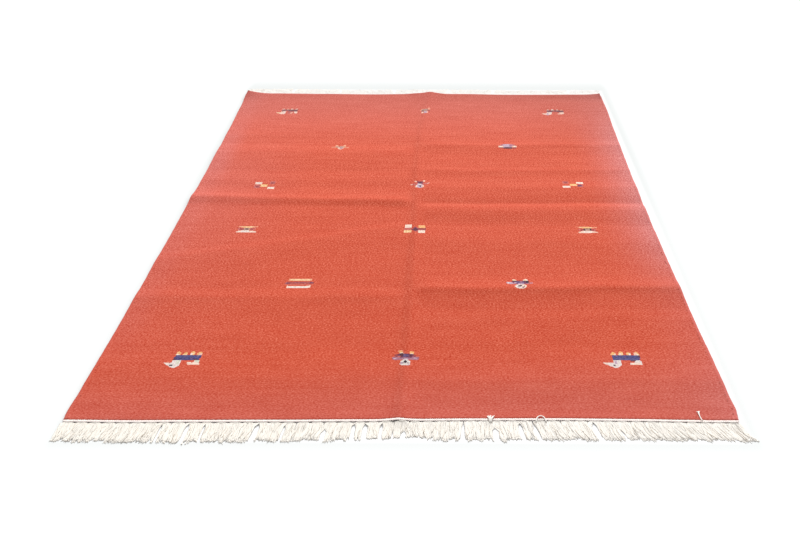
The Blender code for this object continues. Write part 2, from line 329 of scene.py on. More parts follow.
# Each motif is a list of areas of one yarn, in millimetres from its centre,
# a later area woven in place of an earlier one.
ANIMAL_LEFT = (
    ("Y", ((-29, 19), (-15, 19), (-17, 33), (-24, 36), (-28, 30))),
    ("Y", ((-9, 19), (4, 19), (3, 30), (-2, 34), (-7, 30))),
    ("Y", ((10, 19), (24, 19), (22, 34), (16, 38), (11, 33))),
    ("Y", ((30, 19), (45, 19), (44, 30), (37, 36), (31, 30))),
    ("w", (-27, 24, -19, 19)), ("y", (-7, 26, 2, 19)),
    ("w", (12, 27, 18, 19)), ("Q", (34, 27, 43, 19)), ("y", (16, 30, 22, 24)),
    ("B", ((-28, 19), (45, 19), (41, -5), (-30, -5))),
    ("V", (-28, 19, -22, 13)), ("V", (-4, 16, 3, 10)), ("V", (15, 6, 24, 0)),
    ("N", (-30, 3, -24, -5)), ("N", (26, 0, 34, -5)), ("V", (30, 19, 36, 10)),
    ("W", ((-29, -5), (-7, -5), (-7, -30), (-16, -41), (-24, -41),
           (-50, -21), (-50, -18), (-38, -20), (-29, -17))),
    ("G", (-19, -5, -8, -24)), ("w", (-48, -18, -36, -24)),
    ("w", ((28, -5), (43, -5), (44, -17), (48, -25), (14, -25), (12, -15),
           (20, -14), (25, -17), (28, -14))),
    ("G", (32, -5, 43, -15)),
    ("K", (-32, -25, -25, -32)),
)
ANIMAL_RIGHT = (
    ("Y", ((-32, 19), (-17, 19), (-18, 31), (-24, 35), (-30, 31))),
    ("Y", ((-11, 19), (3, 19), (2, 33), (-4, 37), (-9, 33))),
    ("Y", ((12, 19), (25, 19), (23, 31), (17, 35), (13, 30))),
    ("Y", ((33, 19), (48, 19), (46, 29), (40, 35), (34, 30))),
    ("w", (-24, 24, -18, 19)), ("w", (-9, 27, -2, 19)), ("y", (-2, 30, 3, 22)),
    ("w", (17, 27, 24, 19)), ("Q", (34, 30, 42, 19)), ("w", (38, 25, 46, 19)),
    ("B", ((-30, 19), (49, 19), (45, -6), (-31, -6))),
    ("V", (-24, 19, -16, 13)), ("V", (2, 12, 10, 6)), ("V", (-12, 2, -4, -3)),
    ("N", (42, 16, 48, 8)), ("N", ((16, -5), (34, -5), (30, -12), (20, -12))),
    ("W", ((-31, -6), (-8, -6), (-8, -28), (-24, -41), (-32, -39),
           (-59, -19), (-59, -16), (-40, -18), (-30, -17))),
    ("L", (-27, -8, -20, -24)), ("w", (-57, -17, -44, -23)),
    ("W", ((32, -6), (46, -6), (49, -26), (17, -26), (15, -16),
           (25, -17), (31, -14))),
    ("w", (18, -18, 46, -26)),
    ("K", (-31, -25, -25, -32)),
)
ANIMAL_FAR_LEFT = (
    ("Q", ((-29, 21), (-15, 21), (-17, 31), (-23, 35), (-28, 30))),
    ("T", ((-10, 21), (3, 21), (1, 31), (-5, 35), (-9, 30))),
    ("Q", ((10, 21), (23, 21), (20, 33), (14, 36), (10, 31))),
    ("Q", ((30, 21), (44, 21), (43, 31), (36, 35), (31, 30))),
    ("N", ((-29, 22), (45, 22), (43, -3), (14, -3), (4, 2), (-30, 2))),
    ("R", (-12, 12, 2, 2)), ("R", (-28, 22, -20, 12)),
    ("w", ((-27, 2), (-9, 2), (-8, -22), (-14, -34), (-24, -36),
           (-50, -19), (-50, -13), (-38, -15), (-29, -12))),
    ("y", (-48, -14, -32, -24)), ("g", (-27, 1, -20, -8)),
    ("W", (-18, -4, -10, -26)),
    ("M", (2, -2, 18, -30)), ("R", (4, -2, 10, -18)),
    ("Q", ((14, -18), (24, -8), (26, -22), (16, -30))),
    ("w", ((30, -3), (43, -3), (46, -14), (44, -28), (32, -24))),
)
ANIMAL_FAR_RIGHT = (
    ("Q", ((-31, 22), (-19, 22), (-20, 33), (-25, 36), (-30, 31))),
    ("w", ((-12, 22), (1, 22), (0, 33), (-6, 38), (-11, 32))),
    ("Q", ((12, 22), (25, 22), (23, 33), (17, 37), (13, 31))),
    ("T", ((32, 22), (45, 22), (43, 32), (38, 36), (33, 31))),
    ("N", ((-31, 24), (47, 24), (44, 1), (18, 1), (-6, 8), (-8, 2),
           (-31, 2))),
    ("R", (-4, 14, 20, 8)), ("P", (-30, 20, -14, 6)),
    ("w", ((-32, 2), (-9, 2), (-10, -20), (-20, -32), (-34, -34),
           (-57, -22), (-57, -14), (-42, -15), (-34, -10))),
    ("Q", (-56, -15, -40, -24)), ("W", (-22, 0, -13, -20)),
    ("L", (-34, -10, -25, -38)),
    ("Q", ((24, 1), (46, 1), (46, -16), (36, -24), (14, -26), (16, -16),
           (24, -10))),
    ("w", (30, -4, 42, -16)),
)
BIRD_NEAR = (
    ("R", ((-30, 14), (30, 10), (27, 0), (-30, 2))),
    ("l", ((-36, 2), (36, 2), (38, -3), (35, -11), (24, -14), (-26, -14),
           (-36, -10), (-38, -4))),
    ("L", (-34, -4, -26, -8)), ("L", (22, -3, 31, -8)),
    ("T", ((-23, 31), (-11, 32), (-5, 15), (-17, 15))),
    ("Y", ((-21, 29), (-13, 30), (-9, 22), (-17, 20))),
    ("Y", ((12, 26), (23, 26), (21, 13), (11, 13))),
    ("w", (-16, 20, -8, 16)), ("w", (13, 17, 20, 13)),
    ("P", ((-24, 13), (22, 13), (19, 1), (7, -10), (-5, -10), (-20, 1))),
    ("N", ((-19, 16), (-6, 16), (-8, 3), (-14, 5))), ("N", (11, 12, 16, 6)),
    ("V", (-6, 10, 9, 0)), ("l", (-10, -3, 11, -10)), ("M", (-22, 6, -14, 0)),
    ("L", ((-5, -6), (7, -6), (3, -19), (-1, -19))),
    ("W", ((-8, -14), (9, -14), (15, -24), (14, -34), (9, -40), (-9, -40),
           (-15, -34), (-14, -24))),
    ("L", (-12, -24, -8, -33)), ("L", (7, -34, 12, -38)),
    ("K", ((-1, -16), (2, -16), (5, -24), (2, -30), (-2, -30), (-4, -23))),
    ("K", (-9, -27, -4, -32)), ("K", (6, -27, 10, -31)),
)
BIRD_SIDE = (
    ("l", ((-34, 6), (32, 6), (40, 0), (34, -8), (-32, -9), (-41, -3))),
    ("L", ((-42, 6), (-28, 5), (-22, -4), (-34, -8), (-42, -4))),
    ("W", (-41, 3, -34, -3)), ("M", (24, 4, 38, -6)), ("L", (32, 0, 39, -5)),
    ("w", ((-23, 14), (-12, 14), (-13, 22), (-17, 26), (-22, 22))),
    ("w", ((10, 14), (24, 14), (23, 23), (18, 27), (12, 23))),
    ("y", (-22, 20, -14, 15)), ("y", (12, 20, 20, 15)),
    ("P", ((-27, 14), (29, 14), (26, 0), (8, -12), (-10, -12), (-22, 0))),
    ("V", ((-18, 8), (16, 8), (10, -4), (-10, -4))), ("L", (-20, 4, -10, -4)),
    ("l", (-2, 10, 8, 2)),
    ("N", (-26, 15, -12, 8)), ("N", (10, 14, 22, 8)), ("K", (18, 10, 27, -1)),
    ("L", ((-9, -2), (11, -2), (6, -18), (-6, -18))),
    ("w", ((-11, -12), (14, -12), (19, -22), (16, -32), (8, -39), (-6, -39),
           (-17, -32), (-19, -22))),
    ("W", (-14, -15, 0, -36)), ("l", (3, -30, 9, -36)),
    ("K", ((-11, -28), (-6, -18), (2, -15), (5, -20), (2, -26), (-4, -27))),
    ("N", (-1, -14, 5, -20)), ("K", (9, -21, 14, -28)), ("N", (4, -26, 9, -30)),
)
BIRD_MID = (
    ("M", ((-38, -4), (-24, -1), (-8, 0), (-8, -14), (-28, -17), (-38, -13))),
    ("Q", (-36, -6, -28, -12)),
    ("M", ((8, 3), (22, 6), (36, 10), (36, -2), (28, -9), (8, -12))),
    ("Q", ((26, 4), (35, 8), (34, 0), (26, -4))),
    ("Q", ((-22, 10), (-14, 10), (-14, 20), (-18, 24), (-21, 20))),
    ("Q", ((9, 16), (19, 16), (19, 26), (14, 31), (10, 27))),
    ("y", (10, 24, 17, 19)),
    ("R", ((-14, 22), (8, 26), (14, 16), (12, 0), (3, -6), (-8, -2))),
    ("P", ((-12, 16), (10, 14), (8, 2), (0, -4), (-9, 0))),
    ("N", (-4, 12, 6, 4)),
    ("L", ((-9, -3), (5, -3), (10, -16), (-12, -16))),
    ("w", ((-18, -18), (-8, -16), (-8, -36), (-17, -36))),
    ("L", ((-10, -10), (10, -10), (15, -24), (8, -39), (-9, -39),
           (-12, -24))),
    ("W", ((-7, -4), (4, -4), (2, -14), (-6, -14))),
    ("Q", (8, -18, 15, -32)),
    ("K", ((-3, -16), (2, -16), (5, -32), (0, -33))),
)
BIRD_FAR = (
    ("T", ((-24, -2), (-16, 20), (-8, 22), (-6, 4), (-14, -8))),
    ("T", ((10, 12), (13, 32), (20, 40), (24, 30), (20, 14))),
    ("g", ((-12, 16), (14, 20), (14, 0), (-8, -8), (-14, 2))),
    ("N", ((-20, 2), (-8, 2), (-6, -14), (-14, -14))),
    ("R", (12, 8, 22, -8)),
    ("g", ((-8, 10), (10, 10), (8, -22), (-6, -22))),
    ("L", ((-5, -10), (7, -10), (8, -32), (-3, -37))),
    ("w", ((-17, -18), (-6, -18), (-6, -35), (-16, -35))),
    ("Q", ((7, -12), (16, -14), (12, -30), (7, -35))),
)
BIRD_PALE = (
    ("t", (-40, 1, -20, -12)),
    ("t", ((10, 2), (28, 1), (34, -6), (30, -14), (12, -12))),
    ("T", ((-27, 6), (-14, 6), (-14, 18), (-20, 23), (-26, 18))),
    ("T", ((7, 6), (19, 6), (19, 18), (13, 24), (8, 18))),
    ("g", ((-26, 8), (-13, 6), (-4, -6), (4, -8), (10, 8), (18, 4),
           (8, -14), (-8, -16), (-18, -8))),
    ("g", ((-8, 8), (6, 8), (6, -8), (-8, -8))),
    ("Q", ((-14, -8), (12, -8), (8, -26), (-4, -33), (-10, -24))),
    ("l", (-6, -10, 6, -24)),
)
STAIR = (
    ("M", (-38, 4, -14, -25)), ("M", (17, 35, 39, 7)),
    ("R", (-33, -3, -19, -19)), ("R", (21, 29, 35, 13)),
    ("w", (-39, 26, -13, 9)), ("Y", (-14, 8, 12, -12)),
    ("w", (14, -12, 42, -30)),
    ("y", (-12, -2, 8, -10)), ("W", (-34, 22, -20, 13)),
    ("W", (20, -15, 34, -25)),
)
HOURGLASS = (
    ("M", ((-34, 4), (32, 4), (28, -14), (-28, -14))),
    ("R", (-24, 1, -8, -11)), ("R", (14, 1, 24, -11)),
    ("T", ((-38, 22), (-30, 16), (26, 15), (38, 18), (36, 11), (16, 5),
           (-12, 5), (-30, 11))),
    ("y", ((-30, 17), (24, 16), (12, 5), (-8, 5))),
    ("Y", (-16, 14, 12, 7)),
    ("g", (-11, 5, 12, -15)), ("N", (-5, 2, 4, -8)),
    ("w", ((-18, -15), (10, -15), (24, -18), (36, -22), (36, -28), (-33, -28),
           (-31, -20))),
    ("W", (-16, -17, 10, -25)),
)
HOURGLASS_RIGHT = HOURGLASS[:6] + (
    ("N", (-13, 5, 14, -12)), ("g", (-6, 4, 7, -15)),
    ("Q", ((-18, -13), (14, -13), (36, -22), (34, -28), (-34, -29),
           (-34, -22))),
    ("w", ((-16, -14), (12, -14), (24, -22), (20, -27), (-24, -27),
           (-24, -20))),
    ("W", (-12, -17, 12, -25)),
)
CROSS = (
    ("M", (-38, 6, -11, -12)), ("R", (11, 9, 37, -12)), ("R", (14, 5, 32, -9)),
    ("R", ((1, 11), (17, -6), (3, -26), (-15, -8))),
    ("P", ((1, 8), (14, -6), (3, -21), (-12, -8))),
    ("N", (-4, -2, 8, -12)),
    ("M", ((6, -14), (14, -14), (14, -26), (6, -26))),
    ("w", (-37, 28, -12, 6)), ("Y", (11, 26, 36, 7)),
    ("y", (-38, -13, -12, -31)), ("w", (13, -12, 36, -34)),
    ("Y", (-34, -15, -16, -20)), ("T", (14, 24, 34, 20)),
)
BARS = (
    ("T", (-36, 26, 36, 13)), ("y", (-30, 22, 30, 15)),
    ("M", ((-47, 2), (-38, 8), (38, 8), (46, 3), (46, -5), (36, -11),
           (-38, -11), (-48, -5))),
    ("R", ((-45, 2), (-36, 6), (36, 6), (45, 3), (44, -3), (-44, -3))),
    ("P", (-42, 3, -30, -3)), ("P", (30, 4, 42, -2)),
    ("M", (-24, 2, 26, 0)), ("P", (-18, 5, 20, 3)),
    ("w", ((-36, -16), (-30, -19), (22, -19), (29, -15), (36, -14),
           (36, -27), (28, -31), (-36, -31))),
    ("W", (-28, -21, 28, -28)),
)
BOAT = (
    ("M", ((-36, -2), (-30, 12), (-18, 19), (0, 22), (18, 19), (30, 12),
           (36, -2))),
    ("l", ((-28, -2), (-22, 9), (-10, 14), (10, 14), (22, 9), (28, -2))),
    ("Q", (-38, -2, -16, -17)), ("Q", (16, -2, 38, -17)),
    ("L", (-18, 10, 18, -17)), ("l", (10, 10, 20, -10)),
    ("w", (-34, -6, -22, -14)), ("w", (24, -6, 33, -14)),
    ("R", (-36, -18, 36, -28)), ("N", (-19, -17, 18, -30)),
)


def mirrored(shapes):
    out = []
    for yarn, area in shapes:
        if len(area) == 4 and not isinstance(area[0], tuple):
            out.append((yarn, (-area[2], area[1], -area[0], area[3])))
        else:
            out.append((yarn, tuple((-px, py) for px, py in area)))
    return tuple(out)


MOTIFS = (
    # name            shapes               x       y
    ("animal_far_l", ANIMAL_FAR_LEFT, -0.624, 0.958),
    ("bird_far", BIRD_FAR, 0.008, 0.962),
    ("animal_far_r", ANIMAL_FAR_RIGHT, 0.601, 0.955),
    ("bird_pale", BIRD_PALE, -0.334, 0.541),
    ("boat", BOAT, 0.365, 0.556),
    ("stair_l", STAIR, -0.589, 0.166),
    ("bird_mid", BIRD_MID, 0.008, 0.183),
    ("stair_r", mirrored(STAIR) + (("P", (16, 0, 31, -20)),), 0.597, 0.173),
    ("hourglass_l", HOURGLASS, -0.588, -0.186),
    ("cross", CROSS, 0.001, -0.184),
    ("hourglass_r", HOURGLASS_RIGHT, 0.603, -0.185),
    ("bars", BARS, -0.351, -0.546),
    ("bird_side", BIRD_SIDE, 0.344, -0.549),
    ("animal_near_l", ANIMAL_LEFT, -0.611, -0.949),
    ("bird_near", BIRD_NEAR, 0.000, -0.938),
    ("animal_near_r", ANIMAL_RIGHT, 0.603, -0.944),
)


def inside(area, px, py):
    """Which of the points lie in a box (x0, y1, x1, y0) or a polygon."""
    if not isinstance(area[0], tuple):
        x0, y1, x1, y0 = area
        return (px >= x0) & (px < x1) & (py <= y1) & (py > y0)
    odd = np.zeros(px.shape, bool)
    for (ax, ay), (bx, by) in zip(area, area[1:] + area[:1]):
        if ay == by:
            continue
        crosses = ((ay > py) != (by > py)) & (
            px < (bx - ax) * (py - ay) / (by - ay) + ax)
        odd ^= crosses
    return odd


# =====================================================================
# Materials
# =====================================================================
class Tree:
    """A short hand for building a node material."""

    def __init__(self, name):
        self.mat = bpy.data.materials.new(name)
        self.mat.use_nodes = True
        self.t = self.mat.node_tree
        self.t.nodes.clear()
        self.out = self.t.nodes.new("ShaderNodeOutputMaterial")
        self.bsdf = self.t.nodes.new("ShaderNodeBsdfPrincipled")
        self.t.links.new(self.bsdf.outputs[0], self.out.inputs[0])

    def put(self, socket, value):
        if hasattr(value, "is_linked"):
            self.t.links.new(value, socket)
        else:
            socket.default_value = value

    def math(self, op, a, b=0.0, c=0.0, clamp=False):
        n = self.t.nodes.new("ShaderNodeMath")
        n.operation = op
        n.use_clamp = clamp
        self.put(n.inputs[0], a)
        self.put(n.inputs[1], b)
        self.put(n.inputs[2], c)
        return n.outputs[0]

    def mix(self, a, b, share, mode="MIX"):
        n = self.t.nodes.new("ShaderNodeMix")
        n.data_type = "RGBA"
        n.blend_type = mode
        n.clamp_factor = True
        self.put(n.inputs[0], share)
        self.put(n.inputs[6], a if hasattr(a, "is_linked") else (*a, 1.0))
        self.put(n.inputs[7], b if hasattr(b, "is_linked") else (*b, 1.0))
        return n.outputs[2]

    def span(self, value, lo, hi, to_lo=0.0, to_hi=1.0, ease=True):
        n = self.t.nodes.new("ShaderNodeMapRange")
        n.interpolation_type = "SMOOTHSTEP" if ease else "LINEAR"
        n.clamp = True
        self.put(n.inputs[0], value)
        for k, v in enumerate((lo, hi, to_lo, to_hi)):
            self.put(n.inputs[k + 1], v)
        return n.outputs[0]

    def xyz(self):
        n = self.t.nodes.new("ShaderNodeTexCoord")
        s = self.t.nodes.new("ShaderNodeSeparateXYZ")
        self.t.links.new(n.outputs["Object"], s.inputs[0])
        return s.outputs[0], s.outputs[1], s.outputs[2]

    def vec(self, x, y, z=0.0):
        n = self.t.nodes.new("ShaderNodeCombineXYZ")
        for k, v in enumerate((x, y, z)):
            self.put(n.inputs[k], v)
        return n.outputs[0]

    def noise(self, vector, scale, detail=2.0, rough=0.5):
        n = self.t.nodes.new("ShaderNodeTexNoise")
        n.noise_dimensions = "3D"
        self.put(n.inputs["Vector"], vector)
        n.inputs["Scale"].default_value = scale
        n.inputs["Detail"].default_value = detail
        n.inputs["Roughness"].default_value = rough
        return n.outputs[0]

    def attribute(self, name):
        n = self.t.nodes.new("ShaderNodeAttribute")
        n.attribute_type = "GEOMETRY"
        n.attribute_name = name
        return n

    def bump(self, height, distance, strength=1.0, normal=None):
        n = self.t.nodes.new("ShaderNodeBump")
        n.inputs["Strength"].default_value = strength
        n.inputs["Distance"].default_value = distance
        self.put(n.inputs["Height"], height)
        if normal is not None:
            self.put(n.inputs["Normal"], normal)
        return n.outputs[0]

    def set(self, **values):
        names = {"rough": "Roughness", "spec": "Specular IOR Level",
                 "sheen": "Sheen Weight", "sheen_rough": "Sheen Roughness",
                 "colour": "Base Color", "normal": "Normal"}
        for key, value in values.items():
            self.put(self.bsdf.inputs[names[key]], value)
        return self


WARP_PITCH = 0.0042
WEFT_PITCH = 0.0019


def wool_material():
    m = Tree("wool_weave")
    x, y, _z = m.xyz()
    yarn = m.attribute("yarn").outputs[0]
    inset = m.attribute("inset").outputs[2]
    crest = m.attribute("crest").outputs[2]

    # the weave: wefts packed over the warps, each row half a warp along
    b = m.math("DIVIDE", y, WEFT_PITCH)
    wobble = m.noise(m.vec(x, y), 55.0, 1.0)
    b = m.math("ADD", b, m.math("MULTIPLY", wobble, 1.1))
    row = m.math("FLOOR", b)
    part = m.math("SUBTRACT", b, row)
    a = m.math("DIVIDE", x, WARP_PITCH)
    a = m.math("ADD", a, m.math("MULTIPLY", row, 0.5))
    a = m.math("FRACT", a)
    hump_x = m.math("SINE", m.math("MULTIPLY", a, math.pi))
    hump_y = m.math("SINE", m.math("MULTIPLY", part, math.pi))
    hump = m.math("MULTIPLY", m.math("POWER", hump_x, 0.6),
                  m.math("POWER", hump_y, 0.5))

    # heathered yarn: light and dark lengths along each weft, tufts where
    # several rows of the same handful of wool lie together, and drifts of
    # wool carded a little lighter or darker
    pick = m.noise(m.vec(m.math("MULTIPLY", x, 95.0),
                         m.math("MULTIPLY", row, 0.93)), 1.0, 1.0)
    fleck = m.noise(m.vec(m.math("MULTIPLY", x, 0.55), y), 330.0, 2.0, 0.65)
    tuft = m.noise(m.vec(m.math("MULTIPLY", x, 0.90), y, 3.0), 210.0, 1.0)
    clump = m.noise(m.vec(x, m.math("MULTIPLY", y, 0.5), 5.0), 205.0, 1.0)
    blotch = m.noise(m.vec(x, m.math("MULTIPLY", y, 1.3), 7.0), 17.0, 3.0)
    bands = m.noise(m.vec(m.math("MULTIPLY", x, 0.07), m.math(
        "MULTIPLY", y, 1.3), 11.0), 60.0, 2.0)

    def swing(value, size, base):
        return m.math("MULTIPLY_ADD", m.math("SUBTRACT", value, 0.5), size,
                      base)
    tone = swing(fleck, 0.68, 0.0)
    tone = swing(pick, 0.27, tone)
    tuft_size = m.math("MULTIPLY", m.span(y, -0.9, -0.2, 0.06, 0.40),
                       m.span(y, 0.1, 0.6, 1.0, 0.45))
    tone = m.math("MULTIPLY_ADD", m.math("SUBTRACT", tuft, 0.5), tuft_size,
                  tone)
    tone = m.math("MULTIPLY_ADD", m.math("SUBTRACT", clump, 0.5),
                  m.span(y, -0.3, 0.8, 0.0, 0.27), tone)
    tone = m.math("MULTIPLY", tone, m.math(
        "MULTIPLY", m.math("MULTIPLY", m.span(y, -1.12, -0.78, 0.68, 0.93),
                           m.span(y, -0.70, -0.35, 1.0, 0.92)),
        m.math("MULTIPLY", m.span(y, 0.00, 0.40, 1.0, 1.07),
               m.span(y, 0.50, 0.85, 1.0, 0.86))))
    tone = swing(blotch, 0.055, tone)
    tone = m.math("MULTIPLY_ADD", m.math("SUBTRACT", bands, 0.5),
                  m.span(y, -0.4, 0.6, 0.065, 0.095), tone)
    # painted shade: the grooves between the weft humps are a little darker than
    # their tops
    tone = m.math("MULTIPLY_ADD", m.math("SUBTRACT", hump, 0.62), 0.07, tone)
    # the selvedge is laid smoothly round its cords
    tone = m.math("MULTIPLY", tone, m.span(inset, 0.006, 0.011, 0.45, 1.0))

    # painted haze: a pale glare makes the cloth lighter and pinker towards the
    # right side, a little at the left, and towards both ends
    side = m.math("POWER", m.span(x, 0.60, 0.825, ease=False), 2.1)
    mid = m.math("MULTIPLY", m.span(y, -0.66, -0.16, 0.16, 0.66),
                 m.span(y, 0.50, 1.12, 1.0, 0.25))
    fade = m.math("MULTIPLY", side, mid)
    left = m.math("MULTIPLY", m.span(x, -0.36, -0.84),
                  m.math("MULTIPLY", m.span(y, -0.75, 0.10, 0.05, 0.16),
                         m.span(y, 0.25, 0.75, 1.0, 0.30)))
    left = m.math("MULTIPLY_ADD", m.span(x, -0.74, -0.84), m.math(
        "MULTIPLY", m.math("ADD", m.span(y, -1.0, -0.7, 0.0, 0.08),
                           m.span(y, 0.10, 0.40, 0.0, 0.14)),
        m.span(y, 0.60, 0.90, 1.0, 0.4)), left)
    ends = m.math("ADD", m.span(y, 0.45, 1.16, 0.0, 0.21),
                  m.span(m.math("MULTIPLY_ADD", x, -0.10, y), -0.90, -1.24,
                         0.0, 0.19))
    fade = m.math("ADD", m.math("MAXIMUM", fade, left), ends, clamp=True)
    colour = m.mix(yarn, dyed(222, 150, 152), fade)
    # the selvedge's outer cords are pinker, on the right most
    cords = m.math("MULTIPLY", m.span(inset, 0.0060, 0.0095, 1.0, 0.0),
                   m.span(x, -0.5, 0.5, 0.10, 0.42))
    colour = m.mix(colour, dyed(232, 128, 122), cords)
    # the cloth is a little lighter towards the far end, less so in its right
    # corner, and the last rows are darker
    # this multiplier carries both the cloth's tone and the painted shades below
    dye_and_shade = m.math("MULTIPLY", m.span(y, -1.25, 0.65, 0.92, 1.065, ease=False),
                 m.span(y, 0.78, 1.14, 1.0, 0.90))
    dye_and_shade = m.math("MULTIPLY", dye_and_shade, m.math(
        "MULTIPLY_ADD", m.math("MULTIPLY", m.span(x, 0.35, 0.75),
                               m.span(y, 0.40, 0.80)), -0.075, 1.0))
    dye_and_shade = m.math("MULTIPLY", dye_and_shade, m.math(
        "MULTIPLY_ADD", m.span(y, 1.07, 1.19),
        m.span(x, -0.2, 0.6, -0.06, -0.17), 1.0))
    # painted shade: the raised far corners are darkened at their tips, where
    # their curled-up near faces turn from the light
    for cx, cy in ((-0.857 - ORIGIN_X, 1.199 - ORIGIN_Y),
                   (0.850 - ORIGIN_X, 1.195 - ORIGIN_Y)):
        ax = m.math("ABSOLUTE", m.math("SUBTRACT", x, cx))
        ay = m.math("ABSOLUTE", m.math("SUBTRACT", y, cy))
        dye_and_shade = m.math("MULTIPLY", dye_and_shade, m.span(m.math("ADD", ax, ay), 0.008,
                                             0.024, 0.55, 1.0))
    # painted shade: the lengthwise crease is darkened a little along its crest,
    # where its flanks fall into shade; dark specks are laid in a line just
    # inside the selvedge
    dye_and_shade = m.math("MULTIPLY", dye_and_shade, m.math("MULTIPLY_ADD", crest, -0.075, 1.0))
    turns = m.noise(m.vec(m.math("MULTIPLY", x, 2.0), y, 19.0), 90.0, 0.0)
    specks = m.math("MULTIPLY", m.span(turns, 0.60, 0.68),
                    m.math("MULTIPLY", m.span(inset, 0.0065, 0.0090),
                           m.span(inset, 0.0105, 0.0135, 1.0, 0.0)))
    dye_and_shade = m.math("MULTIPLY", dye_and_shade, m.math("MULTIPLY_ADD", specks, -0.28, 1.0))

    # light and dark wool differ by like steps to the eye, so the heather is
    # worked in a gamma of 2.2
    def powered(colour_in, power):
        n = m.t.nodes.new("ShaderNodeGamma")
        m.put(n.inputs[0], colour_in)
        n.inputs[1].default_value = power
        return n.outputs[0]

    def vector(op, a, b):
        n = m.t.nodes.new("ShaderNodeVectorMath")
        n.operation = op
        m.put(n.inputs[0], a)
        m.put(n.inputs["Scale"] if op == "SCALE" else n.inputs[1], b)
        return n.outputs[0]
    seen = powered(vector("SCALE", colour, dye_and_shade), 1.0 / 2.2)
    seen = vector("ADD", seen, m.vec(m.math("MULTIPLY", tone, 0.77),
                                     m.math("MULTIPLY", tone, 1.07),
                                     m.math("MULTIPLY", tone, 1.09)))
    seen = vector("MAXIMUM", seen, (0.02, 0.02, 0.02))
    final = powered(seen, 2.2)

    ripple = m.noise(m.vec(m.math("MULTIPLY", x, 0.5), y), 210.0, 2.0, 0.6)
    normal = m.bump(ripple, 0.00022, 0.6)
    normal = m.bump(hump, 0.00022, 0.9, normal)
    m.set(colour=final, rough=0.95, spec=0.06, sheen=0.06,
          sheen_rough=0.5, normal=normal)
    m.bsdf.inputs["Sheen Tint"].default_value = (1.0, 0.70, 0.60, 1.0)
    return m.mat


def cotton_material():
    m = Tree("cotton_fringe")
    tone = m.attribute("tone").outputs[2]
    x, y, z = m.xyz()
    uv = m.t.nodes.new("ShaderNodeUVMap")
    uv.uv_map = "yarn_uv"
    split = m.t.nodes.new("ShaderNodeSeparateXYZ")
    m.put(split.inputs[0], uv.outputs[0])
    # the ply: slanting grooves round each yarn
    turn = m.math("MULTIPLY_ADD", split.outputs[1], 260.0, split.outputs[0])
    ply = m.math("SINE", m.math("MULTIPLY", turn, 2 * math.pi))
    fuzz = m.noise(m.vec(x, y, z), 900.0, 2.0)
    cream = m.mix((0.80, 0.71, 0.60), (0.975, 0.938, 0.880),
                  m.math("MINIMUM", tone, 1.0))
    cast = m.mix((1.0, 0.985, 0.955), (1.0, 0.992, 0.980),
                 m.span(x, -0.85, 0.45))
    cream = m.mix(cream, cast, 1.0, "MULTIPLY")
    cream = m.mix(cream, m.mix((0.966, 0.965, 0.968), (0.945, 0.960, 0.995),
                               m.span(y, -0.5, 0.5)), 1.0, "MULTIPLY")
    grime = m.noise(m.vec(x, y, z), 45.0, 3.0)
    cream = m.mix(cream, (0.86, 0.78, 0.67),
                  m.math("MULTIPLY", m.span(grime, 0.52, 0.74), 0.25))
    # the end band has taken a breath of the wool's dye
    cream = m.mix(cream, (0.975, 0.86, 0.81), m.span(tone, 1.0, 1.5, 0.0, 0.95))
    scaled = m.t.nodes.new("ShaderNodeVectorMath")
    scaled.operation = "SCALE"
    m.put(scaled.inputs[0], cream)
    m.put(scaled.inputs["Scale"], m.math("MULTIPLY_ADD", ply, 0.02, 0.98))
    # loose fibres stand round each yarn, so its shading is softened towards
    # the lie of the whole fringe
    own = m.t.nodes.new("ShaderNodeNewGeometry")
    facing = m.t.nodes.new("ShaderNodeSeparateXYZ")
    m.put(facing.inputs[0], own.outputs["Normal"])
    both = m.mix(own.outputs["Normal"], (0.0, 0.0, 1.0),
                 m.span(facing.outputs[2], -0.35, 0.05, 0.0, 0.68))
    soft = m.t.nodes.new("ShaderNodeVectorMath")
    m.put(soft.inputs[0], both)
    soft.operation = "NORMALIZE"
    normal = m.bump(m.math("MULTIPLY_ADD", fuzz, 0.8, ply), 0.0002, 0.4,
                    soft.outputs[0])
    m.set(colour=scaled.outputs[0], rough=0.95, spec=0.06, sheen=0.10,
          sheen_rough=0.6, normal=normal)
    return m.mat


# =====================================================================
# The woven field
# =====================================================================
FINE = 4            # weave cells along each side of a motif's coarse cell


def lines(length, step, edge):
    """Coarse grid lines: close together at both edges, then even."""
    inner = length - 2 * edge[-1]
    count = int(round(inner / step))
    mid = [edge[-1] + inner * k / count for k in range(1, count)]
    return np.array(list(edge) + mid + [length - e for e in reversed(edge)])


def rug_point(s, t):
    """Plan place of the flat weave's point (s, t), both in metres from its
    near left corner, after the sides and ends have strayed."""
    y0 = t - CLOTH_LENGTH / 2
    left, right = along(SIDES, y0, 1), along(SIDES, y0, 2)
    x = left + (right - left) * s / FLAT_WIDTH
    near, far = end_y(x, -1), end_y(x, 1)
    return x, near + (far - near) * t / CLOTH_LENGTH


FLAT_WIDTH = 1.704


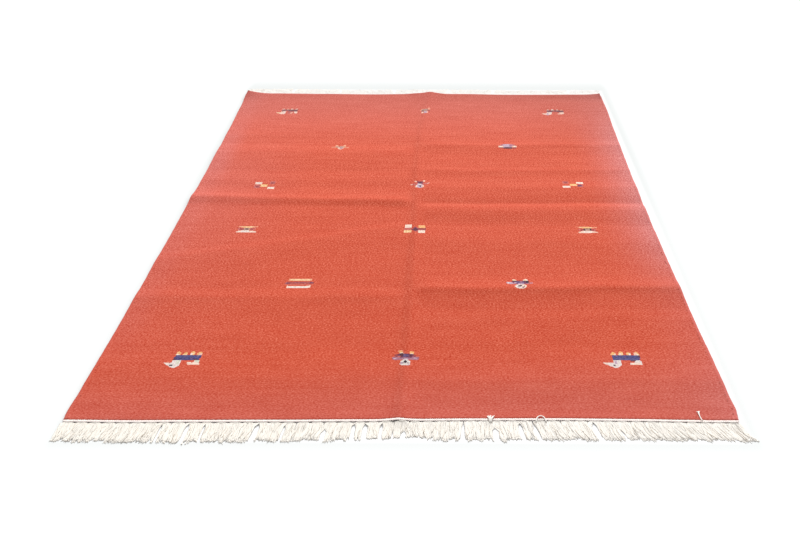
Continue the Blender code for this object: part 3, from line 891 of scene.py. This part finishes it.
def build_cloth(material):
    edge = (0.0, 0.0012, 0.0034, 0.0070, 0.0120, 0.0180, 0.0270)
    sx = lines(FLAT_WIDTH, 0.012, edge)
    ty = lines(CLOTH_LENGTH, 0.012, edge)
    nx, ny = len(sx) - 1, len(ty) - 1

    def refine(c):
        f = np.interp(np.arange(0, (len(c) - 1) * FINE + 1) / FINE,
                      np.arange(len(c)), c)
        return f
    fs, ft = refine(sx), refine(ty)

    # weave the motifs into the fine cells
    letters = np.full((ny * FINE, nx * FINE), ".", dtype="<U1")
    cs, ct = (fs[:-1] + fs[1:]) / 2, (ft[:-1] + ft[1:]) / 2
    SS, TT = np.meshgrid(cs, ct)
    CX, CY = rug_point(SS, TT)
    for _name, shapes, mx, my in MOTIFS:
        near = (np.abs(CX - mx) < 0.075) & (np.abs(CY - my) < 0.065)
        rows, cols = np.where(near)
        r0, r1, c0, c1 = rows.min(), rows.max() + 1, cols.min(), cols.max() + 1
        px = (CX[r0:r1, c0:c1] - mx) * 1000
        py = (CY[r0:r1, c0:c1] - my) * 1000
        block = letters[r0:r1, c0:c1]
        for yarn, area in shapes:
            block[inside(area, px, py)] = yarn
    drawn = letters != "."
    fine_cell = drawn.reshape(ny, FINE, nx, FINE).any(axis=(1, 3))

    # faces on the fine lattice: fine quads where a motif is woven, else one
    # face to a coarse cell, which takes its fine neighbours' points
    faces, face_yarn = [], []
    for J in range(ny):
        for I in range(nx):
            i0, j0 = I * FINE, J * FINE
            if fine_cell[J, I]:
                for b in range(FINE):
                    for a in range(FINE):
                        i, j = i0 + a, j0 + b
                        faces.append(((i, j), (i + 1, j), (i + 1, j + 1),
                                      (i, j + 1)))
                        face_yarn.append(letters[j, i])
                continue
            loop = []
            below = J > 0 and fine_cell[J - 1, I]
            right = I < nx - 1 and fine_cell[J, I + 1]
            above = J < ny - 1 and fine_cell[J + 1, I]
            left = I > 0 and fine_cell[J, I - 1]
            steps = range(FINE)
            loop += [(i0 + a, j0) for a in (steps if below else (0,))]
            loop += [(i0 + FINE, j0 + b) for b in (steps if right else (0,))]
            loop += [(i0 + FINE - a, j0 + FINE)
                     for a in (steps if above else (0,))]
            loop += [(i0, j0 + FINE - b) for b in (steps if left else (0,))]
            faces.append(tuple(loop))
            face_yarn.append(".")

    keys = sorted({p for face in faces for p in face})
    number = {p: k for k, p in enumerate(keys)}
    ki = np.array([p[0] for p in keys])
    kj = np.array([p[1] for p in keys])
    s, t = fs[ki], ft[kj]
    x, y = rug_point(s, t)
    base = lift(x, y) + slack(x, y)
    # distance in from the sides and from the ends
    in_side = np.minimum(s, FLAT_WIDTH - s)
    in_end = np.minimum(t, CLOTH_LENGTH - t)
    inward = np.minimum(in_side, in_end)
    # selvedge: doubled outer warps make a low cord along each long side
    cord = np.clip(1.0 - np.abs(in_side - 0.0052) / 0.0062, 0.0, 1.0)
    thick = CLOTH_THICK + 0.0011 * np.sin(cord * math.pi / 2)
    thick = thick - 0.00035 * np.exp(-((in_side - 0.0135) / 0.0022) ** 2)
    round_off = np.clip(1.0 - inward / 0.0042, 0.0, 1.0) ** 2.2
    top = base + thick * (1.0 - 0.24 * round_off)
    under = base + thick * 0.24 * round_off
    n = len(keys)
    verts = np.concatenate([np.stack([x, y, top], 1),
                            np.stack([x, y, under], 1)])

    # the rim: one more ring of points halfway down, standing slightly proud
    W, H = nx * FINE, ny * FINE
    ring = ([(i, 0) for i in range(0, W, FINE)]
            + [(W, j) for j in range(0, H, FINE)]
            + [(i, H) for i in range(W, 0, -FINE)]
            + [(0, j) for j in range(H, 0, -FINE)])
    rim = []
    for i, j in ring:
        k = number[(i, j)]
        ox = -1.0 if i == 0 else (1.0 if i == W else 0.0)
        oy = -1.0 if j == 0 else (1.0 if j == H else 0.0)
        # a woven side is knobbly: the wefts turn round the last warp
        knob = 0.00025 * math.sin(j * 1.9) if ox else 0.0
        rim.append((x[k] + ox * (0.0008 + knob), y[k] + oy * 0.0001,
                    (top[k] + under[k]) / 2))
    verts = np.concatenate([verts, np.array(rim)])
    out_faces = [tuple(number[p] for p in face) for face in faces]
    count = len(out_faces)
    flip = [tuple(reversed([k + n for k in face])) for face in out_faces]
    rim_faces, rim_places = [], []
    m = len(ring)
    for k in range(m):
        a, b = number[ring[k]], number[ring[(k + 1) % m]]
        ra, rb = 2 * n + k, 2 * n + (k + 1) % m
        rim_faces.append((b, a, ra, rb))
        rim_faces.append((rb, ra, a + n, b + n))
        rim_places += [k, k]

    mesh = bpy.data.meshes.new("kilim_weave")
    mesh.from_pydata(verts.tolist(), [], out_faces + flip + rim_faces)
    mesh.update()

    # yarn colour of every face corner
    palette = {c: (*rgb, 1.0) for c, rgb in YARNS.items()}
    per_face = [palette[c] for c in face_yarn] * 2
    per_face += [palette["."]] * len(rim_faces)
    totals = np.empty(len(mesh.polygons), int)
    mesh.polygons.foreach_get("loop_total", totals)
    colours = np.repeat(np.array(per_face, np.float32), totals, axis=0)
    attr = mesh.color_attributes.new("yarn", "FLOAT_COLOR", "CORNER")
    attr.data.foreach_set("color", colours.ravel())

    # distance in from the nearer side, and nearness to the lengthwise crest,
    # which carries the crease's painted shade on the upper face
    m_in = np.concatenate([in_side, in_side,
                           [in_side[number[p]] for p in ring]])
    crease_shade_at = np.exp(-((x - along(CENTRE_FOLD, y, 1) + 0.006) / 0.011) ** 2)
    crease_shade_at = crease_shade_at * np.clip(1.15 - 0.55 * (y + 0.2), 0.45, 1.0)
    m_crease_shade = np.concatenate([crease_shade_at, crease_shade_at * 0.0, np.zeros(len(ring))])
    for name, values in (("inset", m_in), ("crest", m_crease_shade)):
        extra = mesh.attributes.new(name, "FLOAT", "POINT")
        extra.data.foreach_set("value", values.astype(np.float32))

    # one flat layout for both faces of the cloth, side by side, with the rim
    # carried outwards from the upper face
    uv = mesh.uv_layers.new(name="OFBake")
    loop_vert = np.empty(len(mesh.loops), int)
    mesh.loops.foreach_get("vertex_index", loop_vert)
    loop_face = np.repeat(np.arange(len(mesh.polygons)), totals)
    scale = 1.0 / 3.50
    plan = verts[:, :2] + np.array([0.862, 1.206])
    coords = np.zeros((len(loop_vert), 2))
    on_top = loop_face < count
    on_under = (loop_face >= count) & (loop_face < 2 * count)
    on_rim = loop_face >= 2 * count
    coords[on_top] = plan[loop_vert[on_top]] * scale + (0.004, 0.004)
    coords[on_under] = plan[loop_vert[on_under]] * scale + (0.504, 0.004)
    ring_number = {}
    for k, p in enumerate(ring):
        ring_number[number[p]] = k
    outward = []
    for i, j in ring:
        outward.append((-1.0 if i == 0 else (1.0 if i == W else 0.0),
                        -1.0 if j == 0 else (1.0 if j == H else 0.0)))
    rim_idx = np.where(on_rim)[0]
    for li in rim_idx:
        v = loop_vert[li]
        if v >= 2 * n:
            k, drop = v - 2 * n, 0.0021
        elif v >= n:
            k, drop = ring_number[v - n], 0.0042
        else:
            k, drop = ring_number[v], 0.0
        vt = number[ring[k]]
        ox, oy = outward[k]
        coords[li] = ((plan[vt] + np.array([ox, oy]) * drop) * scale
                      + (0.004, 0.004))
    uv.data.foreach_set("uv", coords.ravel())

    mesh.polygons.foreach_set("use_smooth", [True] * len(mesh.polygons))
    made = bpy.data.objects.new("kilim_weave", mesh)
    bpy.context.scene.collection.objects.link(made)
    mesh.materials.append(material)
    mesh.transform(Matrix.Translation((-ORIGIN_X, -ORIGIN_Y, 0.0)))
    mesh.update()
    return made


# =====================================================================
# Fringes: warp ends as separate yarns
# =====================================================================
class Yarns:
    """Collects tubes into one mesh."""

    def __init__(self):
        self.verts, self.faces, self.tone, self.uv = [], [], [], []
        self.n = 0

    def tube(self, points, radii, sides=5, tone=0.8, twist=0.0, flat=1.0):
        """A closed tube along the points, a radius and a tone at each, its
        section flattened by a share."""
        p = np.asarray(points, float)
        radii = np.broadcast_to(np.asarray(radii, float), (len(p),))
        tones = np.broadcast_to(np.asarray(tone, float), (len(p),))
        tangent = np.gradient(p, axis=0)
        tangent /= np.maximum(np.linalg.norm(tangent, axis=1), 1e-9)[:, None]
        ref = np.array([0.0, 0.0, 1.0])
        side = np.cross(tangent, ref)
        size = np.linalg.norm(side, axis=1)
        side[size < 0.15] = np.cross(tangent[size < 0.15], (1.0, 0.0, 0.0))
        side /= np.linalg.norm(side, axis=1)[:, None]
        up = np.cross(side, tangent)
        length = np.concatenate([[0], np.cumsum(
            np.linalg.norm(np.diff(p, axis=0), axis=1))])
        ang = np.arange(sides) / sides * 2 * math.pi + twist
        ring = (p[:, None, :]
                + radii[:, None, None] * (
                    np.cos(ang)[None, :, None] * side[:, None, :]
                    + flat * np.sin(ang)[None, :, None] * up[:, None, :]))
        base = self.n
        self.verts.append(ring.reshape(-1, 3))
        rows = len(p)
        for r in range(rows - 1):
            for c in range(sides):
                d = (c + 1) % sides
                a0, a1 = base + r * sides + c, base + r * sides + d
                b0, b1 = a0 + sides, a1 + sides
                self.faces.append((a0, a1, b1, b0))
                self.uv += [(c / sides, length[r]), ((c + 1) / sides, length[r]),
                            ((c + 1) / sides, length[r + 1]),
                            (c / sides, length[r + 1])]
        self.faces.append(tuple(base + c for c in reversed(range(sides))))
        self.uv += [(c / sides, 0.0) for c in reversed(range(sides))]
        last = base + (rows - 1) * sides
        self.faces.append(tuple(last + c for c in range(sides)))
        self.uv += [(c / sides, length[-1]) for c in range(sides)]
        self.tone.append(np.repeat(tones, sides))
        self.n += rows * sides

    def make(self, name, material):
        mesh = bpy.data.meshes.new(name)
        verts = np.concatenate(self.verts)
        mesh.from_pydata(verts.tolist(), [], self.faces)
        mesh.update()
        attr = mesh.attributes.new("tone", "FLOAT", "POINT")
        attr.data.foreach_set("value", np.concatenate(self.tone).astype(
            np.float32))
        uv = mesh.uv_layers.new(name="yarn_uv")
        uv.data.foreach_set("uv", np.array(self.uv, np.float32).ravel())
        mesh.polygons.foreach_set("use_smooth", [True] * len(mesh.polygons))
        mesh.transform(Matrix.Translation((-ORIGIN_X, -ORIGIN_Y, 0.0)))
        made = bpy.data.objects.new(name, mesh)
        bpy.context.scene.collection.objects.link(made)
        mesh.materials.append(material)
        return made


# Bare floor shows between tassels at these places of the near fringe.
NEAR_GAPS = (
    # x      width   how far out the gap starts
    (-0.599, 0.007, 0.0060),
    (-0.534, 0.013, 0.0050),
    (-0.491, 0.008, 0.0060),
    (-0.360, 0.015, 0.0050),
    (-0.291, 0.009, 0.0060),
    (-0.190, 0.014, 0.0300),
    (-0.118, 0.013, 0.0050),
    (-0.089, 0.015, 0.0050),
    (-0.049, 0.011, 0.0060),
    (0.008, 0.014, 0.0350),
    (0.155, 0.009, 0.0060),
    (0.236, 0.018, 0.0260),
    (0.300, 0.014, 0.0050),
    (0.338, 0.011, 0.0060),
    (0.487, 0.016, 0.0050),
    (0.549, 0.007, 0.0300),
)
FAR_GAPS = (
    (-0.640, 0.014, 0.016),
    (-0.410, 0.012, 0.014),
    (-0.150, 0.016, 0.014),
    (0.120, 0.012, 0.014),
    (0.330, 0.014, 0.016),
    (0.700, 0.014, 0.016),
)


def part_at_gaps(x, out, drift, gaps):
    """Pushes a yarn's points aside where bare floor shows.  A yarn stays on
    the side of the gap on which most of it lies; drift is the tassel's lean
    at each point."""
    middle = len(x) // 2
    for gx, width, start in gaps:
        at = gx + drift - drift[middle]
        if abs(x[middle] - at[middle]) > 0.05:
            continue
        hand = 1.0 if x[middle] >= at[middle] else -1.0
        grow = np.clip((out - start) / 0.0055, 0.0, 1.0)
        away = (x - at) * hand
        away = np.where(away < 0, away * (1.0 - grow), away)
        half = width / 2 * grow
        push = np.clip(1.0 - away / (width * 1.2), 0.0, 1.0) * half
        x = at + hand * (away + push)
    return x


def edge_line(x, sign):
    """Y and Z of the cloth's end edge at x."""
    y = end_y(x, sign)
    return y, lift(x, y) + slack(x, y)


LOCKS = (
    # place   half width  laid higher
    (-0.80, 0.24, 0.2),
    (-0.42, 0.28, 0.8),
    (-0.02, 0.26, 0.3),
    (0.40, 0.28, 1.0),
    (0.80, 0.24, 0.4),
)
KNOT_OUT = 0.0015       # a knot's middle, out from the root of its tassel
KNOT_HALF = 0.0070
OPENING = 0.0042        # a skirt has opened fully this far past its knot
COME_DOWN = 0.034       # and lies on the floor this far out


def build_fringe(sign, lay, gaps, seed, under_count, per_lock, band_z, knot_up,
                 knot_rise, flat):
    rng = np.random.RandomState(seed)
    y_end = sign * CLOTH_LENGTH / 2
    left = float(along(SIDES, y_end, 1))
    right = float(along(SIDES, y_end, 2))
    first = left + TASSEL_INSET
    pitch = (right - left - 2 * TASSEL_INSET) / (TASSEL_COUNT - 1)
    yarns = Yarns()

    # the end band: two cotton cords twined round each other along the edge
    turns = (right - left) / 0.0105
    steps = int(turns * 6)
    u = np.linspace(0, 1, steps)
    bx = left + 0.0010 + (right - left - 0.002) * u
    by, bz = edge_line(bx, sign)
    for phase in (0.0, math.pi):
        ang = u * turns * 2 * math.pi + phase
        wander = 0.00035 * np.sin(u * 260.0 + phase)
        pts = np.stack([bx, by + sign * (0.0043 + 0.0027 * np.cos(ang)
                                         + wander),
                        bz + band_z + 0.0004 * np.sin(ang)], 1)
        yarns.tube(pts, 0.0024, 6, 1.5, flat=0.42)

    for index in range(TASSEL_COUNT):
        centre = first + pitch * index
        lean = float(along(lay, centre, 1))
        share_len = float(along(lay, centre, 2))
        splay = float(along(lay, centre, 3))
        share_len *= 1.0 + 0.045 * math.sin(2.4 * index) * math.cos(0.7 * index)
        length = TASSEL_LENGTH * share_len - 0.0034
        cy, cz = edge_line(np.array([centre]), sign)
        root_y, root_z = float(cy[0]) + sign * 0.0074, float(cz[0])
        kx = centre + rng.uniform(-0.0022, 0.0022)
        ko = KNOT_OUT + rng.uniform(-0.0004, 0.0006)
        knot_half = KNOT_HALF + rng.uniform(-0.0006, 0.0006)
        knot_z = knot_up + root_z * 0.9

        # warps gather from the band into the knot
        for w in np.linspace(-1, 1, 9):
            w = w + rng.uniform(-0.08, 0.08)
            ax = centre + w * 0.0084
            ay, az = edge_line(np.array([ax]), sign)
            pts = [(ax, float(ay[0]) + sign * 0.0034,
                    float(az[0]) + band_z + 0.0006),
                   (kx + w * 0.0076, root_y - sign * 0.0006,
                    root_z * 0.95 + knot_up + 0.0009),
                   (kx + w * 0.0066, root_y + sign * ko, knot_z + 0.0006)]
            yarns.tube(pts, 0.00110, 5, rng.uniform(0.90, 1.0), flat=0.7)

        # the knot: yarn wrapped round the bundle
        for k in (-0.5, 0.5):
            a = np.linspace(-0.22, 1.22, 8) * math.pi
            slant = rng.uniform(0.0004, 0.0012) * (1 if k > 0 else -1)
            pts = np.stack([kx - np.cos(a) * knot_half,
                            root_y + sign * (ko + k * 0.0024
                                             + slant * np.cos(a)),
                            knot_z + np.sin(a) * knot_rise], 1)
            radii = np.array([0.0009, 0.0011, 0.0012, 0.0013, 0.0013,
                              0.0012, 0.0011, 0.0009])
            pts[:, 2] = np.maximum(pts[:, 2], radii + 0.0001)
            yarns.tube(pts, radii, 6, rng.uniform(0.94, 1.0), flat=0.7)

        # the skirt: warp ends lying on the floor, the lower ones side by
        # side and the upper ones over them in a few wavy locks
        half_full = max(splay * 1.28, pitch * 0.51)
        bend = 1.15 if lean < 0.012 else 1.45
        sweep = rng.uniform(-0.0040, 0.0040)
        strands = []
        for s in range(under_count):
            place = (s + 0.5) / under_count * 2 - 1 + rng.uniform(-0.05, 0.05)
            strands.append((place, 0.0, rng.uniform(0.0020, 0.0023), 0.0,
                            rng.uniform(0, 6.28), rng.uniform(4, 8), 0.0007,
                            sweep, rng.uniform(0.88, 0.98), 7))
        for place, lock_half, high_lock in LOCKS:
            place = place + rng.uniform(-0.10, 0.10)
            phase, freq = rng.uniform(0, 6.28), rng.uniform(3.0, 8.0)
            swing = rng.uniform(0.0006, 0.0032)
            curl = sweep + rng.uniform(-0.0050, 0.0050)
            if rng.uniform() < 0.22:
                curl += rng.choice((-1, 1)) * rng.uniform(0.004, 0.010)
            if lean > 0.012:
                curl += rng.uniform(-0.004, 0.012) * lean / 0.04
            lock_run = rng.uniform(0.86, 0.99)
            high_lock = high_lock * rng.uniform(0.4, 1.0)
            for s in range(per_lock):
                inner = (s + 0.5) / per_lock * 2 - 1 + rng.uniform(-.14, .14)
                strands.append((place + inner * lock_half, inner,
                                rng.uniform(0.00135, 0.00170),
                                0.0002 + 0.0003 * high_lock, phase, freq,
                                swing, curl, lock_run, 9))
        for w, inner, r0, up, phase, freq, swing, curl, part, segs in strands:
            f = np.linspace(0, 1, segs)
            f[1] *= (0.05 if up == 0.0 else 0.038) * (segs - 1)
            run = length * part * rng.uniform(0.92, 1.0)
            # the lower ones come out from under the band itself
            begin = ko
            if up == 0.0:
                begin = (-0.0026 if abs(w) < 0.45 else
                         0.0044 - 0.0010 * (centre > 0.1))
            out = begin + (run - begin) * f
            opened = np.clip((out - ko) / OPENING, 0.0, 1.0)
            drift = lean * (np.maximum(out, 0.0) / TASSEL_LENGTH) ** bend
            narrow = KNOT_HALF * (2.15 if up == 0.0 else 0.95)
            px = (kx + w * (narrow + (half_full - narrow) * opened)
                  + drift + curl * f ** 2.4)
            px = px + swing * np.sin(f * freq + phase) * (0.25 + 0.75 * f)
            px = px + rng.uniform(-0.0009, 0.0009) * np.sin(
                f * rng.uniform(6, 13) + rng.uniform(0, 6.28))
            px = part_at_gaps(px, out, drift, gaps)
            px = np.clip(px, left - 0.0045, right + max(lean, 0.0) * 0.95)
            py = root_y + sign * out
            radii = r0 * (1 + 0.10 * np.sin(f * 9 + phase))
            radii[-2] *= 0.80
            radii[-1] *= 0.42
            squash = flat * (0.62 if up == 0.0 else 1.0)
            # it comes down from the band's height to lie on the floor,
            # thinner and thinner toward its end
            over = (up + (1 - inner * inner) * 0.0003 * (up > 0)) * np.clip(
                0.3 + f * 5.0, 0.0, 1.0) * (1 - 0.95 * f ** 1.6)
            fall = (root_z * 0.9 + knot_up) * np.clip(
                1 - out / COME_DOWN, 0.0, 1.1) ** 1.6
            pz = radii * squash + 0.0001 + over + fall
            # painted shade: the outermost strands of each lock are a little
            # darker, where the locks meet
            tone = rng.uniform(0.84, 1.0) - 0.04 * (abs(inner) > 0.7)
            pts = np.stack([px, py, pz], 1)
            yarns.tube(pts, radii, 4 if up == 0.0 else 5, tone,
                       rng.uniform(0, 1) * (up > 0.0), flat=squash)
            if up == 0.0:
                continue
            # the cut end frays into finer strands
            tip, before = pts[-1], pts[-2]
            ahead = (tip - before) / np.linalg.norm(tip - before)
            for _ in range(2):
                d = ahead + np.array([rng.uniform(-0.8, 0.8),
                                      rng.uniform(-0.3, 0.3), 0.0])
                d /= np.linalg.norm(d)
                ln = rng.uniform(0.001, 0.006)
                q = np.array([tip - ahead * 0.004, tip + d * ln * (1, 1, 0.2)])
                q[:, 2] = np.clip(q[:, 2], 0.0004, 0.004)
                yarns.tube(q, [0.0007, 0.0004], 4, tone, flat=0.5)

        # a few thin hairs of yarn, a little soiled, stray over the skirt
        for _ in range(5):
            g = np.linspace(0, 1, 5)
            start = rng.uniform(0.05, 0.55)
            reach = rng.uniform(0.25, 0.50)
            away = ko + length * np.clip(start + reach * g, 0, 0.97)
            w = rng.uniform(-0.9, 0.9)
            drift = lean * (away / TASSEL_LENGTH) ** bend
            px = (kx + w * half_full + drift
                  + rng.uniform(-0.009, 0.009) * (g - 0.5)
                  + rng.uniform(-0.003, 0.003) * np.sin(g * math.pi))
            px = part_at_gaps(px, away, drift, gaps)
            px = np.clip(px, left - 0.0045, right + max(lean, 0.0) * 0.95)
            pz = 0.0013 + (root_z * 0.9 + knot_up) * np.clip(
                1 - away / COME_DOWN, 0.0, 1.1) ** 1.6
            yarns.tube(np.stack([px, root_y + sign * away, pz], 1),
                       0.00055, 3, rng.uniform(0.0, 0.5))
    return yarns


def stray_yarns(yarns):
    """Loose bits at the near edge: a tuft and a loop that stand over the
    cloth, and one long end that lies on it."""
    rng = np.random.RandomState(77)

    def on_cloth(x, y, up):
        return (x, y, float(lift(x, y)) + float(slack(x, y)) + CLOTH_THICK + up)
    # tuft: short ends that spray out unevenly from one knot
    for a, end_at in ((-1.0, -1.1890), (-0.85, -1.1850), (-0.55, -1.1875),
                      (-0.30, -1.1830), (-0.05, -1.1868), (0.15, -1.1822),
                      (0.40, -1.1862), (0.65, -1.1890), (0.85, -1.1838),
                      (1.0, -1.1905)):
        x0 = 0.2255 + rng.uniform(-0.0025, 0.0025)
        half_way = (-1.1960 + end_at) / 2
        pts = [(x0, -1.2085, 0.0028),
               (x0 + a * 0.001, -1.2020, 0.0046),
               on_cloth(x0 + a * 0.003, -1.1960, 0.0022),
               on_cloth(x0 + a * 0.0065, half_way + rng.uniform(-.001, .001),
                        0.0022),
               on_cloth(x0 + a * 0.0105, end_at, 0.0012)]
        yarns.tube(pts, [0.0014, 0.0015, 0.0015, 0.0014, 0.0010], 5, 1.1,
                   flat=0.6)
    # loop
    a = np.linspace(-0.1, math.pi + 0.1, 12)
    pts = np.stack([0.3525 - np.cos(a) * 0.0125,
                    -1.2045 + np.sin(a) * 0.0185,
                    0.0034 + np.maximum(np.sin(a), 0) * 0.0042], 1)
    yarns.tube(pts, 0.0019, 6, 1.15, flat=0.55)
    # long end
    f = np.linspace(0, 1, 8)
    xs = 0.7585 - 0.0015 * np.sin(f * 3.0) - 0.002 * f
    ys = -1.2030 + 0.0345 * f
    pts = [on_cloth(a, b, 0.0018 if b > -1.194 else 0.0024)
           for a, b in zip(xs, ys)]
    yarns.tube(pts, [0.0016, 0.0016, 0.0015, 0.0014, 0.0014, 0.0016, 0.0022,
                     0.0022], 6, 1.15, flat=0.6)
    for a in (-1.1, -0.6, -0.1, 0.4, 0.9):
        tip = np.array(pts[-1])
        yarns.tube([tip - (0, 0.002, 0), tip + (a * 0.0042, 0.0030, 0.0)],
                   [0.0012, 0.0008], 4, 1.0)


# =====================================================================
# Put together
# =====================================================================
wool = wool_material()
cotton = cotton_material()
cloth = build_cloth(wool)
near = build_fringe(-1, NEAR_LAY, NEAR_GAPS, 11, 13, 4, 0.0020, 0.0011, 0.0005,
                    0.24)
stray_yarns(near)
near = near.make("fringe_yarns_near", cotton)
far = build_fringe(1, FAR_LAY, FAR_GAPS, 23, 11, 3, 0.0014, 0.0010, 0.0004, 0.28)
far = far.make("fringe_yarns_far", cotton)

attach(cloth, "root")
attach(near, "root")
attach(far, "root")
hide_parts("kilim_cloth")
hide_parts("fringe_near")
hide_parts("fringe_far")

# =====================================================================
# Floor, light and camera
# =====================================================================
floor_mesh = bpy.data.meshes.new("studio_floor")
S = 30.0
floor_mesh.from_pydata([(-S, -S, 0), (S, -S, 0), (S, S, 0), (-S, S, 0)], [],
                       [(0, 1, 2, 3)])
floor = bpy.data.objects.new("studio_floor", floor_mesh)
bpy.context.scene.collection.objects.link(floor)
floor.location.z = -0.0002
ft = Tree("studio_floor")
fx, fy, _fz = ft.xyz()
# painted shadow: the pale floor is darker close round the rug, a soft shadow
# stronger towards the far end
reach_x = ft.math("SUBTRACT", ft.math("ABSOLUTE", fx), 0.855)
gap_x = ft.math("DIVIDE", ft.math("MAXIMUM", reach_x, 0.0), 0.078)
gap_far = ft.math("DIVIDE", ft.math("MAXIMUM", ft.math("SUBTRACT", fy, 1.275),
                                    0.0), 0.27)
gap_near = ft.math("DIVIDE", ft.math("MAXIMUM", ft.math("SUBTRACT", -1.275,
                                                        fy), 0.0), 0.105)
gap_y = ft.math("ADD", gap_far, gap_near)
gap = ft.math("SQRT", ft.math("ADD", ft.math("MULTIPLY", gap_x, gap_x),
                              ft.math("MULTIPLY", gap_y, gap_y)))
shade = ft.span(gap, 0.0, 1.0, 1.0, 0.0)
deep = ft.span(fy, -0.4, 0.6, 0.78, 1.0)
# but not between the fringes' yarns
among = ft.math("MULTIPLY", ft.span(reach_x, -0.020, 0.010, 1.0, 0.0),
                ft.span(ft.math("ABSOLUTE", fy), 1.262, 1.282, 1.0, 0.0))
shade = ft.math("MULTIPLY", shade, ft.math("SUBTRACT", 1.0, among))
ft.set(colour=ft.mix((0.93, 0.93, 0.935), (0.722, 0.742, 0.735),
                     ft.math("MULTIPLY", shade, deep)), rough=0.95, spec=0.0)
floor_mesh.materials.append(ft.mat)

world = bpy.data.worlds.new("studio")
bpy.context.scene.world = world
world.use_nodes = True
world.node_tree.nodes["Background"].inputs[0].default_value = (1, 1, 1, 1)
world.node_tree.nodes["Background"].inputs[1].default_value = 0.43 * STUDIO_LIGHT


def sun(name, toward, strength, angle, colour=(1, 1, 1)):
    """A broad soft light from far off, shining along a direction."""
    data = bpy.data.lights.new(name, "SUN")
    data.energy = strength
    data.angle = math.radians(angle)
    data.color = colour
    made = bpy.data.objects.new(name, data)
    bpy.context.scene.collection.objects.link(made)
    made.rotation_euler = Vector(toward).to_track_quat("-Z", "Y").to_euler()
    return made


# The key light comes low from beyond the far end, a little to the right.
KEY_HEIGHT, KEY_ASIDE = math.radians(25.0), math.radians(9.0)
sun("key_behind", (-math.sin(KEY_ASIDE) * math.cos(KEY_HEIGHT),
                   -math.cos(KEY_ASIDE) * math.cos(KEY_HEIGHT),
                   -math.sin(KEY_HEIGHT)),
    0.57 * STUDIO_LIGHT * math.pi / math.sin(KEY_HEIGHT), 42.0)

# The view: a person standing at the rug's near end, looking down at it.
CAMERA_PLACE = Vector((0.1182 - ORIGIN_X, -2.9299 - ORIGIN_Y, 1.4782))
CAMERA_PITCH = math.radians(90.0 - 30.626)
CAMERA_ROLL = math.radians(0.18)
cam_data = bpy.data.cameras.new("view")
cam_data.lens = 40.0
cam_data.sensor_width = 36.0
cam_data.sensor_fit = "HORIZONTAL"
cam_data.shift_x = -48.5 / 800.0
cam_data.clip_end = 200.0
cam = bpy.data.objects.new("view", cam_data)
bpy.context.scene.collection.objects.link(cam)
cam.matrix_world = (Matrix.Translation(CAMERA_PLACE)
                    @ Matrix.Rotation(CAMERA_PITCH, 4, "X")
                    @ Matrix.Rotation(CAMERA_ROLL, 4, "Z"))
bpy.context.scene.camera = cam

view = bpy.context.scene.view_settings
view.view_transform = "Standard"
view.look = "None"
view.exposure = 0.0
view.gamma = 1.0
